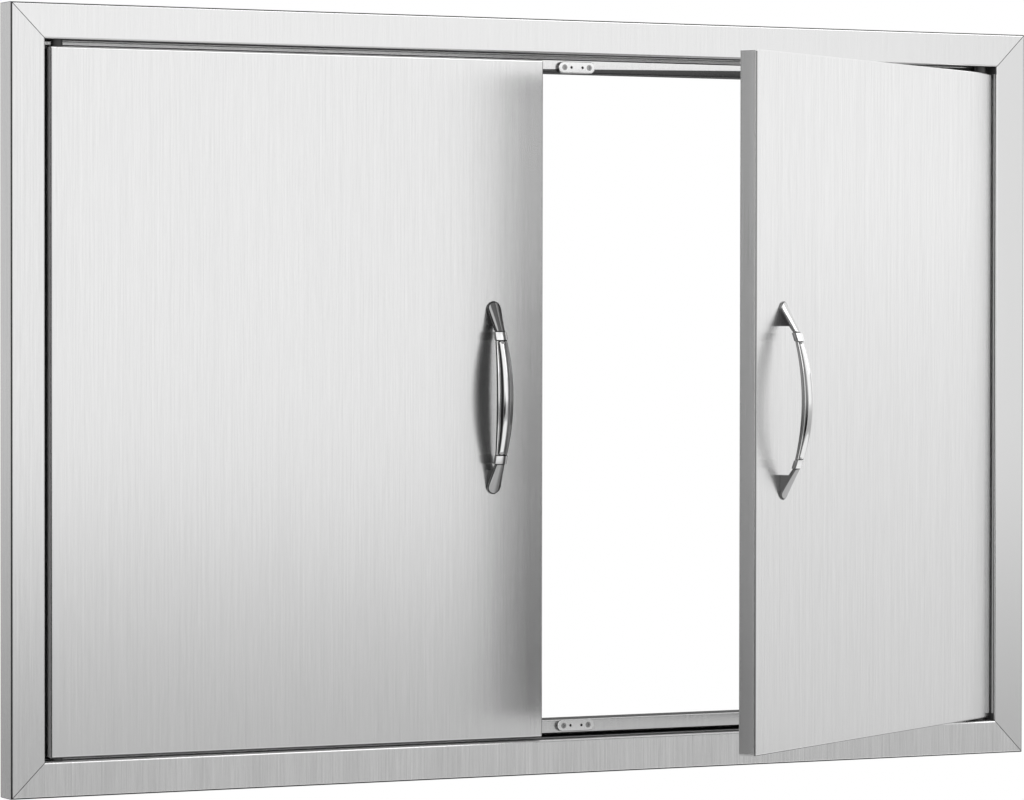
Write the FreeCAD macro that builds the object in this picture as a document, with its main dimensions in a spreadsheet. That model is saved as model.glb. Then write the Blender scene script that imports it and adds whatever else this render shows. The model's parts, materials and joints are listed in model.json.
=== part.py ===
import FreeCAD, Part
import math
import os

import Sketcher

# Double access door for a barbecue island: a mitred trim frame with a lined opening,
# two hinged sheet-metal doors with bow handles, and a magnetic catch pair for each door.
#
# Row frame: +X along the width, +Y into the island, +Z up. The origin is the centre of
# the opening, in the plane of the island's face, where the trim's back hem rests.
# The left door is closed. The right door stands open by right_open_angle.

SHEET = "dims"

DRIVING_DIMENSIONS = (
    ("overall_width", 990.6, "outer width of the trim, 39 in"),
    ("overall_height", 660.4, "outer height of the trim, 26 in"),
    ("trim_width", 30.0, "face width of each trim member"),
    ("trim_depth", 25.4, "how far the trim stands off the island's face"),
    ("gauge", 1.0, "thickness of all the bent sheet"),
    ("bend_radius", 1.6, "outer radius of the sheet's visible bends"),
    ("mitre_gap", 0.3, "open seam between two mitred members"),
    ("hem_width", 9.0, "back hem that rests on the island's face"),
    ("liner_setback", 16.0, "trim's face to the liner's front edge"),
    ("frame_depth", 44.4, "trim's face to the liner's back"),
    ("gutter_width", 2.7, "slot between the liner's wall and the door stop"),
    ("stop_setback", 19.5, "trim's face to the door stop's face"),
    ("stop_width", 12.0, "face width of the door stop"),
    ("stop_bend_radius", 1.1, "outer radius of the door stop's bends"),
    ("gusset_arm", 70.0, "length of a corner gusset's arm"),
    ("gusset_width", 20.0, "width of a corner gusset's arm"),
    ("gusset_gauge", 1.5, "thickness of a corner gusset"),
    ("gusset_inset", 3.0, "trim's outer edge to the gusset"),
    ("hinge_gap", 5.1, "trim to the door's hinge edge"),
    ("centre_gap", 3.4, "space between the two closed doors"),
    ("top_gap", 6.0, "trim to the door's top edge"),
    ("bottom_gap", 3.0, "trim to the door's bottom edge"),
    ("door_thickness", 15.5, "door's face to its back"),
    ("corner_radius", 1.5, "radius of the door's corners seen from the front"),
    ("right_open_angle", 32.3, "opening angle of the right door as it stands"),
    ("pivot_inset", 8.0, "door's hinge edge to the pivot axis"),
    ("pivot_depth", 8.0, "door's face to the pivot axis"),
    ("pin_diameter", 5.0, "pivot pin"),
    ("pin_reach", 11.0, "length of pin inside the door"),
    ("pin_head_diameter", 11.0, "pivot pin's head"),
    ("pin_head_height", 2.5, "pivot pin's head"),
    ("pin_chamfer", 0.5, "chamfer on the pivot pin's tip"),
    ("running_clearance", 0.06, "radial clearance of the pin in its bushing"),
    ("axial_clearance", 0.3, "door's end to the washer or the spacer"),
    ("bushing_wall", 1.9, "wall of the nylon bushing"),
    ("bushing_length", 13.0, "length of the nylon bushing"),
    ("washer_diameter", 10.0, "pivot washer and spacer"),
    ("block_width", 20.0, "pivot block along the door's end"),
    ("block_height", 14.0, "pivot block along the pivot"),
    ("stiffener_crown", 30.0, "flat crown of the door's hat stiffener"),
    ("stiffener_brim", 12.0, "each brim of the door's hat stiffener"),
    ("stiffener_end_gap", 12.0, "space above and below the stiffener"),
    ("liner_joggle", 0.2, "slip fit of the door's liner inside its skin"),
    ("catch_offset", 39.6, "centre line to the middle of each catch"),
    ("catch_length", 36.0, "overall length of a catch"),
    ("catch_height", 10.0, "overall height of a catch"),
    ("catch_thickness", 3.6, "how far a catch stands off the door stop"),
    ("catch_wall", 0.8, "wall of the catch's pressed cover"),
    ("catch_edge_radius", 0.6, "rounding of the catch cover's front edge"),
    ("catch_screw_spacing", 24.2, "between the two screws of a catch"),
    ("catch_hole_spacing", 10.9, "between the two small holes of a catch"),
    ("catch_hole_diameter", 2.4, "small hole in the catch's cover"),
    ("magnet_length", 17.0, "bar magnet in a catch"),
    ("magnet_height", 7.6, "bar magnet in a catch"),
    ("catch_screw_head", 5.2, "head diameter of a catch screw"),
    ("catch_screw_diameter", 2.8, "shank diameter of a catch screw"),
    ("catch_screw_length", 9.0, "overall length of a catch screw"),
    ("recess_length", 3.0, "cross recess of a catch screw, tip to tip"),
    ("recess_width", 0.7, "width of each arm of the cross recess"),
    ("recess_depth", 1.0, "depth of the cross recess"),
    ("screw_hole_diameter", 4.5, "mounting hole for the island screws"),
    ("screw_hole_rise", 200.0, "mounting hole above and below the middle"),
    ("screw_hole_setback", 34.0, "trim's face to the mounting holes"),
    ("handle_inset", 48.5, "door's free edge to the handle's centre line"),
    ("handle_length", 168.0, "overall length of a bow handle"),
    ("handle_rise", 28.5, "door's face to the crown of the bow"),
    ("handle_foot_length", 21.2, "length of a foot along the door"),
    ("handle_foot_width", 13.2, "width of a foot"),
    ("handle_foot_height", 7.8, "height of a foot's inner end above the door"),
    ("handle_tip_height", 0.9, "height of a foot's outer tip above the door"),
    ("handle_leg_radius", 0.7, "rounding of a leg's front edges"),
    ("handle_neck_place", 57.5, "middle of the bow to the start of each leg"),
    ("handle_neck_width", 8.8, "width of the bow at the neck"),
    ("handle_neck_inner", 11.5, "door's face to the inside of the neck"),
    ("handle_neck_outer", 15.6, "door's face to the outside of the neck"),
    ("handle_neck_facet", 0.6, "width of the front facet at the neck"),
    ("handle_neck_drop", 0.8, "front facet to the side's edge at the neck"),
    ("handle_grip_width", 14.8, "width of the grip at the middle"),
    ("handle_grip_inner", 22.7, "door's face to the inside of the grip's middle"),
    ("handle_grip_facet", 7.8, "width of the front facet at the middle"),
    ("handle_grip_drop", 3.4, "front facet to the side's edge at the middle"),
    ("handle_collar_place", 53.6, "middle of the bow to the middle of a collar"),
    ("handle_collar_length", 7.0, "length of a collar along the bow"),
    ("handle_collar_width", 10.9, "width of a collar"),
    ("handle_collar_proud", 0.7, "how far a collar stands off the bow"),
    ("handle_collar_radius", 0.9, "rounding of a collar's long edges"),
    ("handle_screw_place", 71.0, "middle of the bow to each fixing screw"),
    ("handle_screw_diameter", 4.0, "fixing screw of the handle"),
    ("handle_screw_reach", 5.0, "length of screw inside the foot"),
    ("handle_screw_head", 8.0, "head diameter of the fixing screw"),
    ("handle_screw_head_height", 2.4, "head height of the fixing screw"),
    ("spacer_tube_diameter", 7.0, "tube that keeps the door's skins apart"),
)

# Places that several sub-parts share, as expressions on the sheet.
FRONT = "-dims.trim_depth"
HALF_WIDTH = "dims.overall_width / 2"
HALF_HEIGHT = "dims.overall_height / 2"
INNER_Z = "(dims.overall_height / 2 - dims.trim_width)"
STOP_INSET = "(dims.gauge + dims.gutter_width)"
PIVOT_X = "(dims.overall_width / 2 - dims.trim_width - dims.hinge_gap - dims.pivot_inset)"
PIVOT_Y = "(dims.pivot_depth - dims.trim_depth)"
DOOR_TOP = "(dims.overall_height / 2 - dims.trim_width - dims.top_gap)"
DOOR_BOTTOM = "(dims.trim_width + dims.bottom_gap - dims.overall_height / 2)"
DOOR_FACE = "(-dims.pivot_depth)"
DOOR_BACK = "(dims.door_thickness - dims.pivot_depth)"
DOOR_FREE = ("(dims.overall_width / 2 - dims.trim_width - dims.hinge_gap"
             " - dims.pivot_inset - dims.centre_gap / 2)")
CATCH_Z = ("(dims.overall_height / 2 - dims.trim_width - dims.gauge - dims.gutter_width"
           " - dims.stop_width + dims.catch_height / 2)")
HANDLE_X = "(%s - dims.handle_inset)" % DOOR_FREE
BUSHING_RADIUS = "(dims.pin_diameter / 2 + dims.running_clearance + dims.bushing_wall)"

AROUND_X = FreeCAD.Vector(1, 0, 0)
AROUND_Y = FreeCAD.Vector(0, 1, 0)
AROUND_Z = FreeCAD.Vector(0, 0, 1)
DOORS = (("left", 1), ("right", -1))
ENDS = (("upper", 1), ("lower", -1))

# Quarter turns of a corner gusset, by up or down and by right or left.
GUSSET_TURNS = {(1, 1): "0", (-1, 1): "90", (-1, -1): "180", (1, -1): "270"}

# How far a cutting shape passes the face that it starts from, in millimetres.
PASS = "1"

# Two places closer than this are taken as the same when edges are picked, in millimetres.
NEAR = 0.01

# Stations of the bow's cross-sections, as shares of the way from its middle to its necks.
BOW_STATIONS = (1.0, 0.8, 0.55, 0.28, 0.0, -0.28, -0.55, -0.8, -1.0)

doc = FreeCAD.newDocument("access_door")
sheet = doc.addObject("Spreadsheet::Sheet", SHEET)
nodes = []


def fill_sheet():
    """Write the driving dimensions into the sheet, one aliased row each."""
    for row, (alias, size, meaning) in enumerate(DRIVING_DIMENSIONS, start=1):
        sheet.set("A%d" % row, alias)
        sheet.set("B%d" % row, str(size))
        sheet.set("C%d" % row, meaning)
        sheet.setAlias("B%d" % row, alias)
    doc.recompute()


def number(expression):
    """Return the present value of an expression on the sheet, in millimetres."""
    return float(sheet.evalExpression(str(expression)))


def bind(feature, **properties):
    """Bind properties to expressions. A double underscore stands for a dot."""
    for name, expression in properties.items():
        feature.setExpression(name.replace("__", "."), str(expression))


def new_body(label):
    """Add an empty body that will be exported under its label."""
    body = doc.addObject("PartDesign::Body", label)
    body.Label = label
    nodes.append(body)
    return body


def place(feature, x="0", y="0", z="0", angle="0", about=AROUND_Y):
    """Put a sub-part in the row frame, bound to the sheet."""
    feature.Placement = FreeCAD.Placement(FreeCAD.Vector(), FreeCAD.Rotation(about, 1))
    bind(feature, Placement__Base__x=x, Placement__Base__y=y, Placement__Base__z=z,
         Placement__Rotation__Angle=angle)


def sketch_on(body, role, label, offset="0"):
    """Add a sketch on one of the body's own origin planes, moved along its normal."""
    sketch = body.newObject("Sketcher::SketchObject", label)
    plane = [item for item in body.Origin.OriginFeatures if item.Role == role][0]
    sketch.AttachmentSupport = [(plane, "")]
    sketch.MapMode = "FlatFace"
    bind(sketch, AttachmentOffset__Base__z=offset)
    return sketch


def pin_point(sketch, geometry, end, x, y):
    """Hold one end of a sketch element at a place given by two expressions."""
    for kind, expression in (("DistanceX", x), ("DistanceY", y)):
        index = sketch.addConstraint(
            Sketcher.Constraint(kind, -1, 1, geometry, end, number(expression)))
        sketch.setExpression("Constraints[%d]" % index, str(expression))


def outline(sketch, points):
    """Draw a closed outline of straight lines whose corners are expressions."""
    corners = [FreeCAD.Vector(number(x), number(y), 0) for x, y in points]
    first = sketch.GeometryCount
    count = len(points)
    for index in range(count):
        sketch.addGeometry(Part.LineSegment(corners[index], corners[(index + 1) % count]))
    for index in range(count):
        following = first + (index + 1) % count
        sketch.addConstraint(Sketcher.Constraint("Coincident", first + index, 2, following, 1))
    for index, (x, y) in enumerate(points):
        pin_point(sketch, first + index, 1, x, y)


def rectangle(sketch, low_x, low_y, high_x, high_y):
    """Draw a rectangle between two corners."""
    outline(sketch, ((low_x, low_y), (high_x, low_y), (high_x, high_y), (low_x, high_y)))


def circle(sketch, x, y, diameter):
    """Draw a circle with its centre and diameter bound to the sheet."""
    centre = FreeCAD.Vector(number(x), number(y), 0)
    index = sketch.addGeometry(Part.Circle(centre, AROUND_Z, number(diameter) / 2))
    size = sketch.addConstraint(Sketcher.Constraint("Diameter", index, number(diameter)))
    sketch.setExpression("Constraints[%d]" % size, str(diameter))
    pin_point(sketch, index, 3, x, y)


def slot(sketch, length, height):
    """Draw an oblong with round ends about the sketch's origin."""
    reach = "(%s - %s) / 2" % (length, height)
    radius = number(height) / 2
    for sign in (1, -1):
        centre = FreeCAD.Vector(sign * number(reach), 0, 0)
        turn = -math.pi / 2 if sign > 0 else math.pi / 2
        arc = Part.ArcOfCircle(Part.Circle(centre, AROUND_Z, radius), turn, turn + math.pi)
        sketch.addGeometry(arc)
    for start, end in ((0, 1), (1, 0)):
        sketch.addGeometry(Part.LineSegment(sketch.getPoint(start, 2), sketch.getPoint(end, 1)))
    for arc, line, following in ((0, 2, 1), (1, 3, 0)):
        sketch.addConstraint(Sketcher.Constraint("Tangent", arc, 2, line, 1))
        sketch.addConstraint(Sketcher.Constraint("Tangent", line, 2, following, 1))
    pin_point(sketch, 0, 3, reach, "0")
    pin_point(sketch, 1, 3, "-" + reach, "0")
    size = sketch.addConstraint(Sketcher.Constraint("Radius", 0, radius))
    sketch.setExpression("Constraints[%d]" % size, "%s / 2" % height)


def pad(body, sketch, length, reverse=False, both_ways=False):
    """Pad a sketch by a bound length."""
    feature = body.newObject("PartDesign::Pad", sketch.Label + "_pad")
    feature.Profile = sketch
    feature.Reversed = reverse
    feature.Midplane = both_ways
    feature.Length = number(length)
    bind(feature, Length=length)
    doc.recompute()
    return feature


def pocket(body, sketch, length, reverse=False, both_ways=False):
    """Cut a sketch out of the body by a bound length, and see that it cut something."""
    before = body.Shape.Volume
    feature = body.newObject("PartDesign::Pocket", sketch.Label + "_pocket")
    feature.Profile = sketch
    feature.Reversed = reverse
    feature.Midplane = both_ways
    feature.Length = number(length)
    bind(feature, Length=length)
    doc.recompute()
    if not body.Shape.Volume < before:
        raise RuntimeError("%s cuts nothing" % feature.Label)
    return feature


def revolve(body, sketch):
    """Turn a half profile a full turn about the sketch's vertical axis."""
    feature = body.newObject("PartDesign::Revolution", sketch.Label + "_turned")
    feature.Profile = sketch
    feature.ReferenceAxis = (sketch, ["V_Axis"])
    feature.Angle = 360
    doc.recompute()
    return feature


def round_edges(body, radius, chosen):
    """Fillet the edges of the body that the test picks."""
    base = body.Tip
    names = ["Edge%d" % (index + 1) for index, edge in enumerate(base.Shape.Edges)
             if chosen(edge)]
    feature = body.newObject("PartDesign::Fillet", body.Label + "_bends")
    feature.Base = (base, names)
    feature.Radius = number(radius)
    bind(feature, Radius=radius)
    doc.recompute()
    return feature


def lies_at(edge, axis, place_value):
    """Tell whether both ends of an edge have the same given coordinate."""
    return all(abs(vertex.Point[axis] - place_value) < NEAR for vertex in edge.Vertexes)


def runs_along(edge, axis):
    """Tell whether a straight edge is parallel to an axis."""
    if len(edge.Vertexes) != 2:
        return False
    step = edge.Vertexes[1].Point - edge.Vertexes[0].Point
    return all(abs(step[other]) < NEAR for other in range(3) if other != axis)


def mitred_bar(body, reach, half_span, width, front, depth):
    """Pad a mitred member seen from the front. Its outer edge is at the reach above the
    middle, and its ends slope at 45 degrees with half the seam's gap at each."""
    seam = "dims.mitre_gap / sqrt(2)"
    face = sketch_on(body, "XZ_Plane", body.Label + "_face", "-(%s)" % front)
    outer = "(%s - %s)" % (half_span, seam)
    inner = "(%s - %s - %s)" % (half_span, width, seam)
    low = "(%s - %s)" % (reach, width)
    outline(face, (("-" + outer, reach), (outer, reach), (inner, low), ("-" + inner, low)))
    pad(body, face, depth, reverse=True)


def cut_along_bar(body, label, low_y, low_z, high_y, high_z, span):
    """Hollow a member with a rectangle pocketed along its whole length."""
    profile = sketch_on(body, "YZ_Plane", "%s_%s" % (body.Label, label))
    rectangle(profile, low_y, low_z, high_y, high_z)
    pocket(body, profile, span, both_ways=True)


def drill_upright(body, label, centres, diameter, depth, offset="0"):
    """Drill round holes along the body's own Z axis, both ways from the offset plane."""
    holes = sketch_on(body, "XY_Plane", "%s_%s" % (body.Label, label), offset)
    for x, y in centres:
        circle(holes, x, y, diameter)
    pocket(body, holes, depth, both_ways=True)


def four_sides():
    """Give each side's name, its turn about Y, its reach and half its span."""
    return (("top", "0", HALF_HEIGHT, HALF_WIDTH),
            ("right", "90", HALF_WIDTH, HALF_HEIGHT),
            ("bottom", "180", HALF_HEIGHT, HALF_WIDTH),
            ("left", "270", HALF_WIDTH, HALF_HEIGHT))


def build_trim(side, turn, reach, half_span):
    """One mitred member of the trim: a folded channel, open at the back."""
    body = new_body("frame_trim_%s" % side)
    mitred_bar(body, reach, half_span, "dims.trim_width", FRONT, "dims.trim_depth")
    front = number(FRONT)
    round_edges(body, "dims.bend_radius",
                lambda edge: lies_at(edge, 1, front) and runs_along(edge, 0))
    inner = "(%s - dims.trim_width + dims.gauge)" % reach
    outer = "(%s - dims.gauge)" % reach
    span = "2 * %s" % half_span
    cut_along_bar(body, "hollow", FRONT + " + dims.gauge", inner, "-dims.gauge", outer, span)
    cut_along_bar(body, "back_slot", "-2 * dims.gauge", inner, "dims.gauge",
                  "(%s - dims.hem_width)" % reach, span)
    if side in ("top", "bottom"):
        middle = "(%s - dims.trim_width)" % reach
        drill_upright(body, "pivot_holes", ((PIVOT_X, PIVOT_Y), ("-" + PIVOT_X, PIVOT_Y)),
                      "dims.pin_diameter", "4 * dims.gauge", middle)
    place(body, angle=turn)


def mounting_holes(body, reach, depth):
    """Drill the two island screw holes through a side member."""
    setback = "(dims.screw_hole_setback - dims.trim_depth)"
    drill_upright(body, "screw_holes", (("dims.screw_hole_rise", setback),
                                        ("-dims.screw_hole_rise", setback)),
                  "dims.screw_hole_diameter", depth, reach)


def build_liner(side, turn, reach, half_span):
    """One member of the opening's liner: a wall with a flange across its back."""
    body = new_body("opening_liner_%s" % side)
    wall = "(%s - dims.trim_width)" % reach
    width = "(%s + dims.stop_width)" % STOP_INSET
    depth = "(dims.frame_depth - dims.liner_setback)"
    mitred_bar(body, wall, "(%s - dims.trim_width)" % half_span, width,
               "(dims.liner_setback - dims.trim_depth)", depth)
    cut_along_bar(body, "inside", "(dims.liner_setback - 2 * dims.trim_depth)",
                  "(%s - 2 * %s)" % (wall, width),
                  "(dims.frame_depth - dims.trim_depth - dims.gauge)",
                  "(%s - dims.gauge)" % wall, "2 * %s" % half_span)
    if side in ("left", "right"):
        mounting_holes(body, wall, "6 * dims.gauge")
    place(body, angle=turn)


def build_stop(side, turn, reach, half_span):
    """One member of the door stop: a channel that stands on the liner's flange."""
    body = new_body("door_stop_%s" % side)
    outer = "(%s - dims.trim_width - %s)" % (reach, STOP_INSET)
    face = "(dims.stop_setback - dims.trim_depth)"
    depth = "(dims.frame_depth - dims.stop_setback - dims.gauge)"
    mitred_bar(body, outer, "(%s - dims.trim_width - %s)" % (half_span, STOP_INSET),
               "dims.stop_width", face, depth)
    front = number(face)
    round_edges(body, "dims.stop_bend_radius",
                lambda edge: lies_at(edge, 1, front) and runs_along(edge, 0))
    cut_along_bar(body, "inside", "(%s + dims.gauge)" % face,
                  "(%s - dims.stop_width + dims.gauge)" % outer, "dims.frame_depth",
                  "(%s - dims.gauge)" % outer, "2 * %s" % half_span)
    if side in ("left", "right"):
        mounting_holes(body, "(%s - dims.stop_width / 2)" % outer, "dims.stop_width * 2")
    else:
        drill_catch_holes(body, outer)
    place(body, angle=turn)


def drill_catch_holes(body, outer):
    """Drill the pilot holes of the two catches in the face of a stop member."""
    holes = sketch_on(body, "XZ_Plane", body.Label + "_pilot_holes",
                      "(dims.trim_depth - dims.stop_setback)")
    height = "(%s - dims.stop_width + dims.catch_height / 2)" % outer
    for side in (1, -1):
        for screw in (1, -1):
            middle = "%d * dims.catch_offset + %d * dims.catch_screw_spacing / 2" % (side, screw)
            circle(holes, middle, height, "dims.catch_screw_diameter")
    pocket(body, holes, "4 * dims.gauge", both_ways=True)


def build_gusset(end, up, side, along):
    """An angle plate spot-welded behind the trim's face across a mitred corner."""
    body = new_body("corner_gusset_%s_%s" % (end, side))
    face = sketch_on(body, "XZ_Plane", body.Label + "_face")
    reach = "dims.gusset_arm"
    width = "dims.gusset_width"
    outline(face, (("0", "0"), ("-" + reach, "0"), ("-" + reach, "-" + width),
                   ("-" + width, "-" + width), ("-" + width, "-" + reach), ("0", "-" + reach)))
    pad(body, face, "dims.gusset_gauge", reverse=True)
    place(body, "%d * (%s - dims.gusset_inset)" % (along, HALF_WIDTH),
          FRONT + " + dims.gauge", "%d * (%s - dims.gusset_inset)" % (up, HALF_HEIGHT),
          GUSSET_TURNS[(up, along)])


def build_catch(end, up, side, along):
    """A catch's pressed cover and the bar magnet inside it."""
    body = new_body("catch_cover_%s_%s" % (end, side))
    face = sketch_on(body, "XZ_Plane", body.Label + "_outline")
    slot(face, "dims.catch_length", "dims.catch_height")
    pad(body, face, "dims.catch_thickness")
    front = -number("dims.catch_thickness")
    round_edges(body, "dims.catch_edge_radius", lambda edge: lies_at(edge, 1, front))
    seat = sketch_on(body, "XZ_Plane", body.Label + "_magnet_seat")
    rectangle(seat, "-dims.magnet_length / 2", "-dims.magnet_height / 2",
              "dims.magnet_length / 2", "dims.magnet_height / 2")
    pocket(body, seat, "(dims.catch_thickness - dims.catch_wall)", reverse=True)
    holes = sketch_on(body, "XZ_Plane", body.Label + "_small_holes")
    for sign in ("", "-"):
        circle(holes, sign + "dims.catch_hole_spacing / 2", "0", "dims.catch_hole_diameter")
    pocket(body, holes, "3 * dims.catch_thickness", both_ways=True)
    drill_countersinks(body)
    x = "%d * dims.catch_offset" % along
    y = "(dims.stop_setback - dims.trim_depth)"
    z = "%d * %s" % (up, CATCH_Z)
    place(body, x, y, z)
    magnet = doc.addObject("Part::Box", "catch_magnet_%s_%s" % (end, side))
    depth = "(dims.catch_thickness - dims.catch_wall)"
    bind(magnet, Length="dims.magnet_length", Width=depth, Height="dims.magnet_height")
    place(magnet, x + " - dims.magnet_length / 2", "%s - %s" % (y, depth),
          z + " - dims.magnet_height / 2")
    nodes.append(magnet)


def drill_countersinks(body):
    """Cut a countersunk screw hole at each end of a catch's cover."""
    for name, sign in (("near", ""), ("far", "-")):
        centre = sign + "dims.catch_screw_spacing / 2"
        profile = sketch_on(body, "XY_Plane", "%s_%s_screw" % (body.Label, name))
        head = "(dims.catch_screw_head / 2)"
        shank = "(dims.catch_screw_diameter / 2)"
        mouth = "-dims.catch_thickness"
        outer = centre + " + " + head
        inner = centre + " + " + shank
        outline(profile, ((centre, mouth + " - " + PASS), (outer, mouth + " - " + PASS),
                          (outer, mouth), (inner, "%s + %s - %s" % (mouth, head, shank)),
                          (inner, PASS), (centre, PASS)))
        groove = body.newObject("PartDesign::Groove", profile.Label + "_sink")
        groove.Profile = profile
        axis = len(profile.Geometry) - 1
        groove.ReferenceAxis = (profile, ["Edge%d" % (axis + 1)])
        groove.Angle = 360
        doc.recompute()


def build_catch_screws():
    """The eight countersunk screws that hold the four catches, with cross recesses."""
    screws = []
    for up in (1, -1):
        for along in (1, -1):
            for end in (1, -1):
                middle = "%d * dims.catch_offset + %d * dims.catch_screw_spacing / 2"
                screws.append(catch_screw(middle % (along, end), "%d * %s" % (up, CATCH_Z)))
    group = doc.addObject("Part::Compound", "catch_screws")
    group.Links = screws
    nodes.append(group)


def catch_screw(x, z):
    """One countersunk screw whose head is flush with the catch's cover."""
    head = doc.addObject("Part::Cone", "screw_head")
    rise = "(dims.catch_screw_head - dims.catch_screw_diameter) / 2"
    bind(head, Radius1="dims.catch_screw_head / 2", Radius2="dims.catch_screw_diameter / 2",
         Height=rise)
    shank = doc.addObject("Part::Cylinder", "screw_shank")
    bind(shank, Radius="dims.catch_screw_diameter / 2",
         Height="dims.catch_screw_length - " + rise, Placement__Base__z=rise)
    whole = doc.addObject("Part::MultiFuse", "screw_blank")
    whole.Shapes = [head, shank]
    arms = []
    for length, width in (("dims.recess_length", "dims.recess_width"),
                          ("dims.recess_width", "dims.recess_length")):
        arm = doc.addObject("Part::Box", "recess_arm")
        bind(arm, Length=length, Width=width, Height="dims.recess_depth + " + PASS)
        place(arm, "-%s / 2" % length, "-%s / 2" % width, "-" + PASS)
        arms.append(arm)
    recess = doc.addObject("Part::MultiFuse", "screw_recess")
    recess.Shapes = arms
    screw = doc.addObject("Part::Cut", "catch_screw")
    screw.Base = whole
    screw.Tool = recess
    face = "(dims.stop_setback - dims.trim_depth - dims.catch_thickness)"
    place(screw, x, face, z, "-90", AROUND_X)
    return screw


def build_pivot_pin(end, up, side, along):
    """A headed pin pushed through the trim's return from its hollow side."""
    body = new_body("pivot_pin_%s_%s" % (end, side))
    profile = sketch_on(body, "XZ_Plane", body.Label + "_profile")
    gap = "dims.top_gap" if up > 0 else "dims.bottom_gap"
    tip = "-(%s + dims.pin_reach)" % gap
    radius = "dims.pin_diameter / 2"
    head = "dims.pin_head_diameter / 2"
    outline(profile, (("0", tip), (radius + " - dims.pin_chamfer", tip),
                      (radius, tip + " + dims.pin_chamfer"),
                      (radius, "dims.gauge"), (head, "dims.gauge"),
                      (head, "dims.gauge + dims.pin_head_height"),
                      ("0", "dims.gauge + dims.pin_head_height")))
    revolve(body, profile)
    turn = "0" if up > 0 else "180"
    place(body, "%d * %s" % (along, PIVOT_X), PIVOT_Y, "%d * %s" % (up, INNER_Z), turn)


def build_pin_rings(label, up, gap):
    """The two rings on the pins that keep the doors' ends off the trim."""
    rings = []
    for along in (1, -1):
        outer = doc.addObject("Part::Cylinder", "ring_outside")
        bind(outer, Radius="dims.washer_diameter / 2", Height=gap + " - dims.axial_clearance")
        inner = doc.addObject("Part::Cylinder", "ring_bore")
        bind(inner, Radius="dims.pin_diameter / 2", Height=gap)
        ring = doc.addObject("Part::Cut", "pin_ring")
        ring.Base = outer
        ring.Tool = inner
        turn = "180" if up > 0 else "0"
        place(ring, "%d * %s" % (along, PIVOT_X), PIVOT_Y, "%d * %s" % (up, INNER_Z), turn)
        rings.append(ring)
    group = doc.addObject("Part::Compound", label)
    group.Links = rings
    nodes.append(group)


def place_on_door(feature, side, lead):
    """Hang a sub-part on its door's pivot axis, turned by the door's opening angle."""
    angle = "dims.right_open_angle" if side == "right" else "0"
    place(feature, "%d * %s" % (-lead, PIVOT_X), PIVOT_Y, "0", angle, AROUND_Z)


def door_span(lead, low, high):
    """Order two distances from the pivot, towards the free edge, along the door's X."""
    near = "%d * (%s)" % (lead, low)
    far = "%d * (%s)" % (lead, high)
    return (near, far) if lead > 0 else (far, near)


def build_door_skin(side, lead):
    """The door's outer skin: a pan with a folded return on all four sides."""
    body = new_body("%s_door_skin" % side)
    face = sketch_on(body, "XZ_Plane", body.Label + "_face", "-" + DOOR_FACE)
    low, high = door_span(lead, "-dims.pivot_inset", DOOR_FREE)
    rectangle(face, low, DOOR_BOTTOM, high, DOOR_TOP)
    pad(body, face, "dims.door_thickness", reverse=True)
    front = number(DOOR_FACE)
    round_edges(body, "dims.corner_radius",
                lambda edge: lies_at(edge, 1, front) or runs_along(edge, 1))
    hollow = sketch_on(body, "XZ_Plane", body.Label + "_hollow", "-" + DOOR_BACK)
    low, high = door_span(lead, "dims.gauge - dims.pivot_inset", DOOR_FREE + " - dims.gauge")
    rectangle(hollow, low, DOOR_BOTTOM + " + dims.gauge", high, DOOR_TOP + " - dims.gauge")
    pocket(body, hollow, "(dims.door_thickness - dims.gauge)", reverse=True)
    drill_upright(body, "bushing_holes", (("0", "0"),), "2 * %s" % BUSHING_RADIUS,
                  "2 * dims.overall_height")
    drill_handle_holes(body, lead, DOOR_FACE, "dims.handle_screw_diameter")
    place_on_door(body, side, lead)


def drill_handle_holes(body, lead, depth, diameter):
    """Drill the two handle screw holes through a skin of the door."""
    holes = sketch_on(body, "XZ_Plane", body.Label + "_handle_holes", "-(%s)" % depth)
    for sign in ("", "-"):
        circle(holes, "%d * %s" % (lead, HANDLE_X), sign + "dims.handle_screw_place", diameter)
    pocket(body, holes, "4 * dims.gauge", both_ways=True)


def build_door_liner(side, lead):
    """The flat panel that closes the door's back, between the skin's returns."""
    body = new_body("%s_door_liner" % side)
    face = sketch_on(body, "XZ_Plane", body.Label + "_face", "-" + DOOR_BACK)
    margin = "(dims.gauge + dims.liner_joggle)"
    low, high = door_span(lead, margin + " - dims.pivot_inset", DOOR_FREE + " - " + margin)
    rectangle(face, low, DOOR_BOTTOM + " + " + margin, high, DOOR_TOP + " - " + margin)
    pad(body, face, "dims.gauge")
    drill_handle_holes(body, lead, DOOR_BACK, "dims.handle_screw_diameter")
    place_on_door(body, side, lead)


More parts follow.
